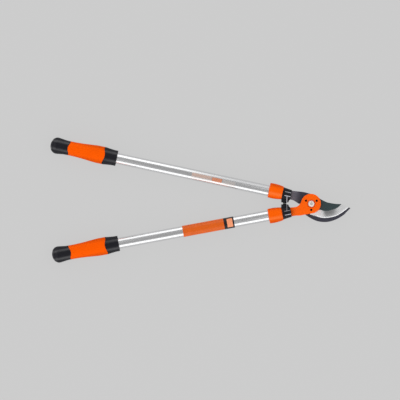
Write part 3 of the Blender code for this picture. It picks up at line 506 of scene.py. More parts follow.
def upright(bm, x=0.0, y=0.0):
    # stands a spun shape up along z
    bmesh.ops.rotate(bm, cent=(0, 0, 0), matrix=Matrix.Rotation(-math.pi / 2, 3, "Y"), verts=bm.verts)
    bmesh.ops.translate(bm, vec=(x, y, 0), verts=bm.verts)
    return bm


def onEdge(bm, place):
    # turns a shape raised along z to run along y, then puts it in place
    return moved(bm, place @ Matrix(((1, 0, 0), (0, 0, 1), (0, 1, 0))).to_4x4())


def bevelled(bm, edges, offset, segments=3):
    bmesh.ops.bevel(bm, geom=edges, offset=offset, offset_type="OFFSET", segments=segments,
                    profile=0.5, affect="EDGES", clamp_overlap=True, material=-1)
    return bm


def eased(bm, degrees, offset, segments=3):
    # bevels the edges that turn by more than this
    limit = math.radians(degrees)
    sharp = [edge for edge in bm.edges if len(edge.link_faces) == 2 and edge.calc_face_angle() > limit]
    return bevelled(bm, sharp, offset, segments)


def raised(outline, low, high, edge=0.0, segments=3, both=True):
    # an outline raised along z, with its rims rounded
    bm = bmesh.new()
    base = bm.faces.new([bm.verts.new((point[0], point[1], low)) for point in outline])
    made = bmesh.ops.extrude_face_region(bm, geom=[base])["geom"]
    top = [item for item in made if isinstance(item, bmesh.types.BMVert)]
    bmesh.ops.translate(bm, vec=(0, 0, high - low), verts=top)
    outward(bm)
    if edge:
        levels = (high, low) if both else (high,)
        rims = [rim for rim in bm.edges
                if any(all(abs(vert.co.z - level) < touching for vert in rim.verts) for level in levels)]
        bevelled(bm, rims, edge, segments)
    return bm


def pulled(bm, edges, move):
    # extrudes a row of edges and moves its new points
    made = bmesh.ops.extrude_edge_only(bm, edges=edges)["geom"]
    fresh = {item for item in made if isinstance(item, bmesh.types.BMVert)}
    for vert in fresh:
        vert.co = move(vert)
    return [item for item in made if isinstance(item, bmesh.types.BMEdge) and set(item.verts) <= fresh]


def skinned(rings, corners=96, closed=False):
    # skins a row of rings; each gives its point at a share of the turn
    bm = bmesh.new()
    share = bm.verts.layers.float.new("share")
    bmesh.ops.create_circle(bm, segments=corners, radius=1.0)
    for vert in bm.verts:
        vert[share] = (math.atan2(vert.co.y, vert.co.x) / math.tau + 0.5 / corners) % 1.0
        vert.co = rings[0](vert[share])
    first = list(bm.edges)
    last = first
    for ring in rings[1:]:
        last = pulled(bm, last, lambda vert: ring(vert[share]))
    if closed:
        bmesh.ops.bridge_loops(bm, edges=[*first, *last])
    else:
        for loop in (first, last):
            bmesh.ops.contextual_create(bm, geom=loop)
    return outward(bm)


def meshOf(name, bm):
    mesh = bpy.data.meshes.new(name)
    bm.to_mesh(mesh)
    return mesh


def added(name, data):
    obj = bpy.data.objects.new(name, data)
    bpy.context.scene.collection.objects.link(obj)
    return obj


def carved(bm, tool, operation="DIFFERENCE"):
    # cuts the first shape by the second, or joins them
    made = [added("shape", meshOf("shape", outward(shape))) for shape in (bm, tool)]
    modifier = made[0].modifiers.new("carve", "BOOLEAN")
    modifier.operation = operation
    modifier.solver = "MANIFOLD"
    modifier.object = made[1]
    bpy.context.view_layer.update()
    result = bpy.data.meshes.new_from_object(made[0].evaluated_get(bpy.context.evaluated_depsgraph_get()))
    bm.clear()
    bm.from_mesh(result)
    tool.free()
    for mesh in (result, *(obj.data for obj in made)):
        bpy.data.meshes.remove(mesh)
    return bm


def drilled(bm, profile, steps=96, place=(0.0, 0.0), operation="DIFFERENCE"):
    # carves by a profile of (height, radius) turned about z and closed on it
    closed = ((profile[0][0], 0), *profile, (profile[-1][0], 0))
    return carved(bm, upright(spun(closed, steps), *place), operation)


def block(low, high, place=None):
    # a plain block to cut with
    corners = ((low[0], low[1]), (high[0], low[1]), (high[0], high[1]), (low[0], high[1]))
    return moved(raised(corners, low[2], high[2]), place or Matrix())


def piece(name, bm, look, replaced, slot, body="blade_half", place=headPlace, sharp=32.0):
    # keeps each point's own coordinates for the finish, then moves the mesh to its place
    bmesh.ops.remove_doubles(bm, verts=bm.verts, dist=touching)
    own = outward(bm).verts.layers.float_vector.new("own")
    for vert in bm.verts:
        vert[own] = vert.co
    mesh = meshOf(name, moved(bm, place))
    bm.free()
    mesh.shade_smooth()
    mesh.set_sharp_from_angle(angle=math.radians(sharp))
    for used in look if isinstance(look, tuple) else (look,):
        mesh.materials.append(used.material)
    obj = added(name, mesh)
    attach(obj, body)
    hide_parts(*replaced)


def onHandle(along, inward, side):
    # a point of the head's plane, from its place on a handle's axis
    return (headPlace.inverted() @ handlePlace(side) @ Vector((along, inward, 0))).to_2d()


# Hook, with its tang

hook = {
    "rim": 0.0005, "bossRadius": 0.022,
    "bossArc": (78, -24, 30),  # degrees from and to, and steps
    "inner": ((0.0876, -0.0075), (0.079, -0.0099), (0.073, -0.0146), (0.059, -0.0227),
              (0.041, -0.0276), (0.03, -0.0254), (0.0236, -0.018)),
    "outer": ((-0.0263, -0.0013), (-0.0195, -0.0185), (-0.0042, -0.031), (0.0159, -0.0399),
              (0.0376, -0.041), (0.0572, -0.035), (0.074, -0.0248), (0.0812, -0.0176),
              (0.0896, -0.009)),
    "tangTop": ((-0.0349, 0.0282), (-0.0173, 0.0264), (-0.004, 0.0232)),
    "tangBottom": ((-0.0288, -0.0001), (-0.0334, 0.0028), (-0.0403, 0.0069)),
}
tang = {"halfWidth": 0.0088, "tipHalfWidth": 0.0075, "neck": 0.001, "shoulderOut": 0.0112,
        "shoulderIn": 0.009}


def tangPoints(side, plate):
    # the tang's outline round its end, from the collar and back, outer side first
    place = handlePlace(side)
    front = extent(side + "_bumper_collar", place)[0].x - gap
    neck = extent(side + "_ferrule", place)[0].x - gap - tang["neck"]
    end = extent(plate, place)[1].x
    width, tip = tang["halfWidth"], tang["tipHalfWidth"]
    half = ((front, -width), (neck, -width), (neck, -tip), (end, -tip))
    return [onHandle(along, across, side) for along, across in mirrored(half)], front


def makeHook():
    low, high = extent("hook_blade")
    around, front = tangPoints("upper", "hook_blade")
    boss = arcPoints(hook["bossRadius"], *hook["bossArc"])
    top = curveThrough((onHandle(front, -tang["shoulderOut"], "upper"), *hook["tangTop"], boss[0]), 8)
    throat = curveThrough((boss[-1], *reversed(hook["inner"])))
    shoulder = onHandle(front, tang["shoulderIn"], "upper")
    back = curveThrough((*reversed(hook["outer"]), *hook["tangBottom"], shoulder))
    outline = [*reversed(around[:4]), *top, *boss[1:-1], *throat, *back, *reversed(around[4:])]
    bm = raised(outline, low.z, high.z, hook["rim"])
    drilled(bm, ((-beyond, pivot["hole"]), (beyond, pivot["hole"])), 48)
    piece("hookPlate", bm, looks["hookCoating"], ["hook_blade"], "hook_coating", "hook_half")


# Cutting blade: a flat plate with a hollow bevel and a honed strip along its edge

blade = {
    "bossRadius": 0.0215,
    "bossArc": (52, 262, 70),  # degrees from and to, and steps
    "bevelWidth": 0.015,  # as its ground lines see it
    "edgeLand": 0.00025, "rim": 0.0004, "honedFrom": 0.88,
    "spine": ((0.059, 0.0004), (0.0517, 0.001), (0.04, 0.0029), (0.0326, 0.0051), (0.0209, 0.0109)),
    "grindLine": ((-0.003, -0.0213), (0.006, -0.0207), (0.014, -0.0166), (0.0182, -0.0134),
                  (0.0272, -0.0153), (0.0373, -0.0156), (0.0482, -0.013), (0.0569, -0.0099),
                  (0.0634, -0.0054), (0.0692, 0.0002)),
    "edgeLine": ((-0.002, -0.0249), (0.0055, -0.0264), (0.013, -0.0286), (0.0228, -0.0313),
                 (0.0317, -0.0319), (0.0411, -0.0311), (0.0498, -0.0292), (0.0593, -0.0261),
                 (0.0739, -0.0169), (0.0845, -0.0081)),
    # share of the way to the edge, and share of the thickness left there
    "hollow": ((0.0, 1.0), (0.18, 0.82), (0.35, 0.66), (0.5, 0.53), (0.66, 0.41), (0.88, 0.26), (1.0, 0.0)),
}


def makeBlade():
    low, high = extent("cutting_blade")
    grind = curveThrough(blade["grindLine"])
    edge = curveThrough(blade["edgeLine"])
    spine = curveThrough((blade["grindLine"][-1], *blade["spine"]))[1:]
    back = arcPoints(blade["bossRadius"], *blade["bossArc"])[:-1]
    reach = [0.0]
    for start, end in zip(edge, edge[1:]):
        reach.append(reach[-1] + (end - start).length)
    bm = bmesh.new()
    step = bm.verts.layers.int.new("step")
    across = bm.verts.layers.float_vector.new("grind")
    top = [bm.verts.new((*point, high.z)) for point in (*grind, *spine, *back)]
    for index, vert in enumerate(top):
        vert[step] = index
    around = [bm.edges.new((top[index - 1], top[index])) for index in range(len(top))]
    row = around[1:len(grind)]
    wall = around[len(grind):] + around[:1]
    thick = high.z - low.z - blade["edgeLand"]

    def bevelRow(share, level):
        def move(vert):
            index = vert[step]
            vert[across] = (reach[index], share * blade["bevelWidth"], 0.0)
            return Vector((*grind[index].lerp(edge[index], share), level))
        return move

    for vert in top[:len(grind)]:
        vert[across] = (reach[vert[step]], 0.0, 0.0)
    for share, left in blade["hollow"][1:]:
        row = pulled(bm, row, bevelRow(share, low.z + blade["edgeLand"] + thick * left))
        for item in row:
            item.link_faces[0].material_index = 2 if share > blade["honedFrom"] else 1
    pulled(bm, row, bevelRow(1.0, low.z))
    pulled(bm, wall, lambda vert: Vector((*vert.co.to_2d(), low.z)))
    for index in (0, len(grind) - 1):
        # closes the bevel's end
        bm.edges.new([vert for vert in bm.verts
                      if vert[step] == index and abs(vert.co.z - low.z) < touching])
        column = [item for item in bm.edges if item.is_boundary or item.is_wire]
        column = [item for item in column if all(vert[step] == index for vert in item.verts)]
        for face in bmesh.ops.contextual_create(bm, geom=column)["faces"]:
            face.material_index = 1
    bmesh.ops.contextual_create(bm, geom=around)
    bmesh.ops.contextual_create(bm, geom=[item for item in bm.edges if item.is_boundary])
    bevelled(outward(bm), wall, blade["rim"], 2)
    finishes = (looks["bladeCoating"], looks["groundSteel"], looks["honedSteel"])
    piece("bladePlate", bm, finishes, ["cutting_blade"], "blade_coating", sharp=24.0)


# Lever: a disc over the blade and an arm that drops to the lower tang

lever = {
    "pocketRadius": 0.0265, "edgeRound": 0.0012, "recessMargin": 0.00175, "recessDepth": 0.0022,
    "screwHole": 0.0026, "rimChamfer": 0.0004,
    "top": ((-0.0344, -0.0076), (-0.0288, -0.0042), (-0.0263, -0.0014), (-0.0245, 0.0012)),
    "bottom": ((-0.0132, -0.0248), (-0.025, -0.0272), (-0.0342, -0.0276)),
    "discRadius": 0.0225,
    "discArc": (-88, 172, 120),  # degrees from and to, and steps
    "discCentre": (-0.0009, 0.0002), "dropBehindDisc": 0.0055, "flatBeforeCollar": 0.0008,
    "rampRound": (0.008, 6),  # radius and steps
}


def makeLever():
    low, high = extent("lever_arm")
    place = handlePlace("lower")
    around, front = tangPoints("lower", "lever_arm")
    centre = Vector(lever["discCentre"])
    disc = [centre + point for point in arcPoints(lever["discRadius"], *lever["discArc"])]
    top = curveThrough((disc[-1], *reversed(lever["top"]), onHandle(front, tang["shoulderIn"], "lower")))
    corner = onHandle(front, -tang["shoulderOut"], "lower")
    bottom = curveThrough((corner, *reversed(lever["bottom"]), disc[0]))
    outline = [*disc[:-1], *top, *reversed(around), *bottom[:-1]]
    bm = raised(outline, low.z, high.z, lever["edgeRound"], 4, both=False)

    under, above, chamfer = low.z - beyond, high.z + beyond, lever["rimChamfer"]
    seat = extent("cutting_blade")[1].z + gap
    floor = high.z - lever["recessDepth"]

    def chamfered(radius):
        # the upper end of a hole
        wide = radius + 2 * chamfer
        return (high.z - chamfer, radius), (high.z + chamfer, wide), (above, wide)

    pocket, hole, screw = lever["pocketRadius"], pivot["hole"], lever["screwHole"]
    recess = extent("pivot_bolt")[1].x + lever["recessMargin"]
    drilled(bm, ((under, pocket), (seat, pocket), (seat, hole), (floor, hole), (floor, recess),
                 *chamfered(recess)))

    armTop = -extent("hook_blade")[0].z
    start = crossing + lever["discRadius"] + lever["dropBehindDisc"]
    flat = front + gap - lever["flatBeforeCollar"]
    end = extent("lever_arm", place)[1].x + beyond
    ramp = ((start - beyond, high.z), (start, high.z), (flat, armTop), (end, armTop))
    ramp = (*softened(ramp, *lever["rampRound"]), (end, above), (start - beyond, above))
    drop = raised([(x, -z) for x, z in ramp], -2 * beyond, 2 * beyond)
    carved(bm, onEdge(drop, headPlace.inverted() @ place))
    for count in (1, 2, 3):
        middle = sum(extent(f"blade_screw_{count}"), Vector()) / 2
        drilled(bm, ((under, screw), *chamfered(screw)), 48, middle.to_2d())
    piece("leverArm", bm, looks["orangePaint"], ["lever_arm"], "orange_paint")


# Pivot: a button head bolt, and a washer, a cone spring and a lock nut underneath

pivot = {
    "hole": 0.0043, "edge": 0.0004, "domeHeight": 0.0036, "flatRadius": 0.003, "tipChamfer": 0.0007,
    "socketRadius": 0.0029, "socketDepth": 0.0012, "facets": 72, "washerRound": 0.0003,
    "springRound": 0.0002, "springThickness": 0.0008, "nutCollarHeight": 0.0013, "nutCollarWall": 0.0013,
    "nutCollarSunk": 0.002, "nutCorner": 0.0007,
}


def makeBolt():
    low, high = extent("pivot_bolt")
    shank = pivot["hole"] - gap
    seat = extent("lever_arm")[1].z - lever["recessDepth"] + gap
    side, edge, crown, flat = high.x, pivot["edge"], pivot["domeHeight"], pivot["flatRadius"]
    depth = (side**2 + crown**2 - flat**2) / (2 * crown)
    ball = math.hypot(flat, depth)
    dome = [(high.z - depth + math.sqrt(ball**2 - radius**2), radius) for radius in spread(side, flat, 16)]
    tip = pivot["tipChamfer"]
    bm = upright(spun(((low.z, 0), (low.z, shank - tip), (low.z + tip, shank), (seat, shank),
                       (seat, side - edge), (seat + edge, side), *dome, (high.z, 0))))
    carved(bm, raised(hexagon(pivot["socketRadius"]), high.z - pivot["socketDepth"], high.z + beyond))
    piece("pivotBolt", bm, looks["boltSteel"], ["pivot_bolt"], "fastener_steel")


def makeNutSet():
    hole, facets = pivot["hole"], pivot["facets"]
    low, high = extent("pivot_washer")
    bm = upright(pipe(low.z, high.z, hole, high.x, pivot["washerRound"], facets))
    piece("pivotWasher", bm, looks["platedSteel"], ["pivot_washer"], "fastener_steel")
    low, high = extent("spring_washer")
    thick = pivot["springThickness"]
    cone = ((high.z - thick, hole), (high.z, hole), (low.z + thick, high.x), (low.z, high.x))
    bm = upright(turnedRing(cone, pivot["springRound"], facets))
    piece("springWasher", bm, looks["platedSteel"], ["spring_washer"], "fastener_steel")
    low, high = extent("pivot_nut")
    base, corner = low.z + pivot["nutCollarHeight"], pivot["nutCorner"]
    narrow, wide = high.x * math.cos(math.pi / 6) - corner, high.x + corner / 2
    bm = raised(hexagon(high.x), base, high.z)
    drilled(bm, ((base - corner, narrow), (base + corner, wide), (high.z - corner, wide),
                 (high.z + corner, narrow)), operation="INTERSECT")
    wall, top = hole + pivot["nutCollarWall"], base + pivot["nutCollarSunk"]
    neck = softened(((low.z, 0), (low.z, wall), (top, wall), (top, 0)), pivot["edge"])
    carved(bm, upright(spun(neck, facets)), "UNION")
    drilled(bm, ((-beyond, hole), (beyond, hole)), facets)
    piece("pivotNut", bm, looks["platedSteel"], ["pivot_nut"], "fastener_steel")


makeHook()
makeBlade()
makeLever()
makeBolt()
makeNutSet()
print("head made")


# Collars with their snouts

collar = {
    "topWall": 0.0025, "ridgeOut": 0.007, "ridgeIn": 0.0036, "edge": 0.0007,
    # outer and inner flank: where it starts and stops leaning in shares of the height, and how far
    "flanks": ((0.42, 0.74, 0.0024), (0.4, 0.72, 0.0016)),
    # share of its length, outer and inner wall beside the tang, drop of the top
    "walls": ((0.0, 0.0027, 0.0012, 0.0022), (0.06, 0.0038, 0.0024, 0.001),
              (0.55, 0.0049, 0.0036, 0.0), (1.1, 0.0066, 0.0047, 0.0)),
    "snoutHalfHeight": 0.0103, "snoutLength": 0.016, "snoutBehind": 0.0024, "snoutSunk": 0.004,
    "snoutFlare": 0.0055, "standoff": 0.0022,
    "snout": ((0.0, 0.003), (0.125, 0.0008), (0.73, 0.0), (0.96, 0.0034), (1.0, 0.0046)),
    "ribHalf": 0.0008, "ribRise": 0.0005, "ribsAcross": (-0.0058, 0.0029), "ribStart": 0.001,
    "ribEnd": 0.0152, "ribEdge": 0.0003, "ribFoot": 0.009, "gussetBehindTip": 0.0034,
    # gusset: where it starts, its lead-in's length and drop, where it starts to climb
    "gusset": (0.0034, 0.0015, 0.0012, 0.009), "gussetEnd": 0.019,
    # degrees from which an edge is rounded
    "snoutSharp": 10.0, "bodySharp": 12.0, "ribSharp": 50.0,
    # how strong the painted highlight on the two ribs and the gusset is
    "ridgeHighlight": {"upper": (0.6, 1.0, 0.9), "lower": (1.0, 0.35, 0.4)},
}


def tangRoom(start, end, halfWidth):
    # the block that a tang needs inside a handle piece
    low, high = extent("hook_blade")
    half = halfWidth + gap
    return block((start - beyond, -half, low.z - gap), (end + beyond, half, high.z + gap))


def collarHeight(share):
    # height of the collar's flat top, from its table
    before, after = next(pair for pair in zip(collar["walls"], collar["walls"][1:]) if share <= pair[1][0])
    t = (share - before[0]) / (after[0] - before[0])
    return tubeRadius + collar["topWall"] - before[3] * (1 - t) - after[3] * t


def makeSnout(back, toSide):
    # widens forwards on the way from its tip to the collar's front
    length, tip = collar["snoutLength"], collar["standoff"]
    half = [(back + share * length, collar["snoutHalfHeight"] - drop) for share, drop in collar["snout"]]
    root = (crossing - back - length / 2) * math.tan(handleAngle) - collar["snoutSunk"]
    snout = raised(mirrored(half), tip, root)
    for vert in snout.verts:
        risen = (vert.co.z - tip) / (root - tip)
        vert.co.x += risen * collar["snoutFlare"] * (vert.co.x - back) / length
    eased(snout, collar["snoutSharp"], collar["edge"])
    bmesh.ops.triangulate(snout, faces=snout.faces)
    return onEdge(snout, toSide)


def makeRibs(start, length, stemX, toSide):
    # two ribs along the top and a gusset down to the snout, above and again below
    half, rise, foot, sharp, edge = (collar[key] for key in ("ribHalf", "ribRise", "ribFoot", "ribSharp",
                                                             "ribEdge"))
    first, leadIn, leadDrop, climb = collar["gusset"]
    crest = [(start + along, collarHeight(along / length) + rise)
             for along in spread(collar["ribStart"], collar["ribEnd"], 8)]
    ridge = (toSide.inverted() @ Vector((start + length * 0.5, collar["ribsAcross"][1], 0))).y
    top, low = tubeRadius + collar["topWall"] + rise, collar["snoutHalfHeight"] + rise
    slope = ((first, low - leadDrop), (first + leadIn, low), (climb, low), (ridge - half, top),
             (ridge + half, top), (ridge + half, foot), (first, foot))
    turn = Matrix(((0, 0, 1), (1, 0, 0), (0, 1, 0))).to_4x4()
    ribs = []
    for sign in (1, -1):
        outline = [(x, sign * z) for x, z in (*crest, (crest[-1][0], foot), (crest[0][0], foot))]
        for across in collar["ribsAcross"]:
            rib = raised(outline, across - half, across + half)
            ribs.append(onEdge(eased(rib, sharp, edge, 2), Matrix()))
        fin = raised([(y, sign * z) for y, z in slope], stemX - half, stemX + half)
        ribs.append(moved(eased(fin, sharp, edge, 2), toSide @ turn))
    return ribs


def makeCollar(side):
    place = handlePlace(side)
    toSide = place.inverted() @ sidePlace(side)
    low, high = extent(side + "_bumper_collar", place)
    start, length = low.x, high.x - low.x
    (outFoot, outTop, outLean), (inFoot, inTop, inLean) = collar["flanks"]

    def ringAt(share, outerWall, innerWall, drop):
        outer, inner = tang["halfWidth"] + outerWall, tang["halfWidth"] + innerWall
        height = tubeRadius + collar["topWall"] - drop
        points = mirrored(((-outer, outFoot * height), (outLean - outer, outTop * height),
                           (-collar["ridgeOut"], height), (collar["ridgeIn"], height),
                           (inner - inLean, inTop * height), (inner, inFoot * height)))
        return lambda turn: Vector((start + share * length, *points[int(turn * len(points))]))

    bm = skinned([ringAt(*row) for row in collar["walls"]], 12)
    eased(bm, collar["bodySharp"], collar["edge"])
    back = crossing - high.x * math.cos(handleAngle) - collar["snoutBehind"]
    carved(bm, makeSnout(back, toSide), "UNION")
    stemX = back + collar["snoutLength"] - collar["gussetBehindTip"]
    for rib in makeRibs(start, length, stemX, toSide):
        carved(bm, rib, "UNION")

    wide = 2 * beyond
    carved(bm, block((high.x, -wide, -wide), (high.x + wide, wide, wide)))
    carved(bm, tangRoom(start, high.x, tang["halfWidth"]))
    padLow, padHigh = extent(side + "_bumper_pad", sidePlace(side))
    carved(bm, block((padLow.x - gap, -beyond, padLow.z - gap), padHigh + Vector((gap, gap, gap)), toSide))

    half, across, stem = collar["ribHalf"], collar["ribsAcross"], crossing - stemX
    along = (start + collar["ribStart"], start + collar["ribEnd"])
    first, second, gusset = collar["ridgeHighlight"][side]
    crests = (("handle", along, (across[0] - half, across[0] + half), first),
              ("handle", along, (across[1] - half, across[1] + half), second),
              ("head", (stem - half, stem + half), (across[1], collar["gussetEnd"]), gusset))
    piece(side + "Collar", bm, collarLook(crests), [side + "_bumper_collar"], "black_plastic",
          halfBody[side], place, 20.0)


# Ferrules

ferrule = {
    "corner": 0.0108, "shift": -0.0016, "frontWall": 0.0025,
    "lip": (0.0005, 4),  # size and steps
    "leadIn": 0.0006, "rings": 29,
    # share of its length, side wall and top wall over the tube
    "walls": ((0.0, 0.0021, 0.0022), (0.1, 0.0027, 0.0034), (0.25, 0.0034, 0.0049), (0.5, 0.0042, 0.0049),
              (0.7, 0.0044, 0.0049), (0.92, 0.0042, 0.0049), (1.0, 0.004, 0.0046)),
}


def slopeOf(before, here, after, column):
    # level at a table's peaks and dips, so that its curve never overshoots
    if (here[column] - before[column]) * (after[column] - here[column]) <= 0:
        return 0.0
    return (after[column] - before[column]) / (after[0] - before[0])


def wallsAt(table, place):
    # side and top wall at a place, by a smooth curve through the table
    place = min(max(place, table[0][0]), table[-1][0])
    index = next(index for index, row in enumerate(table[1:]) if place <= row[0])
    before, low, high, after = (table[min(max(at, 0), len(table) - 1)] for at in range(index - 1, index + 3))
    span = high[0] - low[0]
    t = (place - low[0]) / span
    walls = []
    for column in (1, 2):
        start, end = slopeOf(before, low, high, column) * span, slopeOf(low, high, after, column) * span
        walls.append(low[column] * (2 * t**3 - 3 * t**2 + 1) + start * (t**3 - 2 * t**2 + t)
                     + high[column] * (3 * t**2 - 2 * t**3) + end * (t**3 - t**2))
    return walls


def rim(ringAt, end, inwards, size, steps, *swing):
    # rings of a rounded rim; inwards is 1 at a near end and -1 at a far one
    rings = []
    for angle in spread(0.0, math.pi / 2, steps):
        along, sink = size * (1 - math.cos(angle)), size * (1 - math.sin(angle))
        rings.append(ringAt(end + inwards * along, sink, *swing))
    return rings[::inwards]


def ovalRing(along, across, up=None):
    # a round ring, or an oval one with a second radius
    up = across if up is None else up
    return lambda turn: Vector((along, across * math.cos(math.tau * turn), up * math.sin(math.tau * turn)))


def makeFerrule(side):
    place = handlePlace(side)
    low, high = extent(side + "_ferrule", place)

    def ringAt(along, sink=0.0):
        sideWall, topWall = wallsAt(ferrule["walls"], (along - low.x) / (high.x - low.x))
        corner = ferrule["corner"] - sink

        def point(turn):
            c, s = math.cos(math.tau * turn), math.sin(math.tau * turn)
            y = math.copysign(tubeRadius + sideWall - sink - corner, c) + corner * c + ferrule["shift"]
            return Vector((along, y, math.copysign(tubeRadius + topWall - sink - corner, s) + corner * s))
        return point

    lip, lead = ferrule["lip"], ferrule["leadIn"]
    bore, floor = tubeRadius + gap, low.x + ferrule["frontWall"]
    rings = rim(ringAt, low.x, 1, *lip)
    rings += [ringAt(along) for along in spread(low.x + lip[0], high.x - lip[0], ferrule["rings"])[1:-1]]
    rings += rim(ringAt, high.x, -1, *lip)
    rings += [ovalRing(high.x, bore + lead), ovalRing(high.x - lead, bore), ovalRing(floor, bore)]
    bm = carved(skinned(rings), tangRoom(low.x, floor, tang["tipHalfWidth"]))
    piece(side + "Ferrule", bm, looks[side + "FerruleOrange"], [side + "_ferrule"], "orange_plastic",
          halfBody[side], place)


# Tubes

tube = {
    "wall": 0.0012, "edge": 0.0003, "facets": 128, "innerFacets": 96,
    # plain bars on the upper tube: low and high along and across, cover and ink
    "marks": ((0.2545, 0.2775, -0.0035, 0.0054, 0.85, "printOrange"),
              (0.279, 0.3245, -0.0045, 0.003, 0.5, "printBrown"),
              (0.279, 0.3245, 0.003, 0.0075, 0.14, "printBrown"),
              (0.224, 0.2515, -0.0026, 0.007, 0.25, "printGrey")),
}
label = {"start": 0.225, "bandEnd": 0.2484, "end": 0.3437, "panel": (0.2284, 0.2412), "panelHalf": 0.0096,
         "standsOff": 0.00002, "thickness": 0.00018, "edge": 0.00006}


def makeTubes(side):
    place, body = handlePlace(side), halfBody[side]
    wall, edge, facets = tube["wall"], tube["edge"], tube["innerFacets"]
    low, high = extent(side + "_outer_tube", place)
    bm = pipe(low.x, high.x, tubeRadius - wall, tubeRadius, edge, tube["facets"])
    look = tubeLook("drawnTubeWithBars", tube["marks"]) if side == "upper" else looks["drawnTube"]
    piece(side + "Tube", bm, look, [side + "_outer_tube"], "tube_aluminium", body, place)
    innerLow, innerHigh = extent(side + "_inner_tube", place)
    bm = pipe(innerLow.x, innerHigh.x, innerHigh.z - wall, innerHigh.z, edge, facets)
    piece(side + "InnerTube", bm, looks["drawnTube"], [side + "_inner_tube"], "tube_aluminium",
          side + "_grip_section", place)
    bushLow, bushHigh = extent(side + "_guide_bush", place)
    bore, liner, flange = innerHigh.z + gap, tubeRadius - wall - gap, high.x + gap
    bush = ((bushLow.x, bore), (bushLow.x, liner), (flange, liner), (flange, bushHigh.z),
            (bushHigh.x, bushHigh.z), (bushHigh.x, bore))
    piece(side + "GuideBush", turnedRing(bush, edge, facets), looks["blackPlastic"], [side + "_guide_bush"],
          "black_plastic", body, place)


def makeLabel():
    place = handlePlace("lower")
    inner = tubeRadius + label["standsOff"]
    bm = pipe(label["start"], label["end"], inner, inner + label["thickness"], label["edge"], tube["facets"])
    piece("labelWrap", bm, labelLook(), [], "orange_plastic", place=place)


# Grips

grip = {
    # size and steps of the rounding
    "frontEdge": (0.001, 5), "seamEdge": (0.0005, 3), "coverThickness": 0.0014,
    # the cover's seams wave around, a little inside the CAD cover's ends
    "wave": 0.0019, "waves": 3, "seamsIn": (0.0023, 0.0013), "bore": 0.0103, "mouth": 0.013,
    "mouthLead": (0.0008, 0.0006),  # along and outwards
    "bushRoom": 0.0007, "plugLength": 0.009,
    "crownStart": 0.6,  # sine of the crown's angle where the cap begins
    "facets": 112,
    "rings": {"front": 17, "seat": 24, "back": 26, "cover": 40, "crown": 20},
    "sharp": 40.0,
    # share of its length, side and top wall over the tube; the last row only gives a slope
    "walls": ((0.0, 0.005, 0.0036), (0.04, 0.005, 0.0036), (0.12, 0.006, 0.0041),
              (0.2, 0.0073, 0.0049), (0.28, 0.0073, 0.0049), (0.39, 0.0062, 0.0043),
              (0.52, 0.0045, 0.0034), (0.68, 0.0035, 0.0029), (0.78, 0.0038, 0.0031),
              (0.85, 0.0052, 0.0042), (0.905, 0.006, 0.0049), (0.935, 0.005, 0.0039),
              (0.961, 0.0023, 0.0014), (0.985, -0.0028, -0.0033)),
}


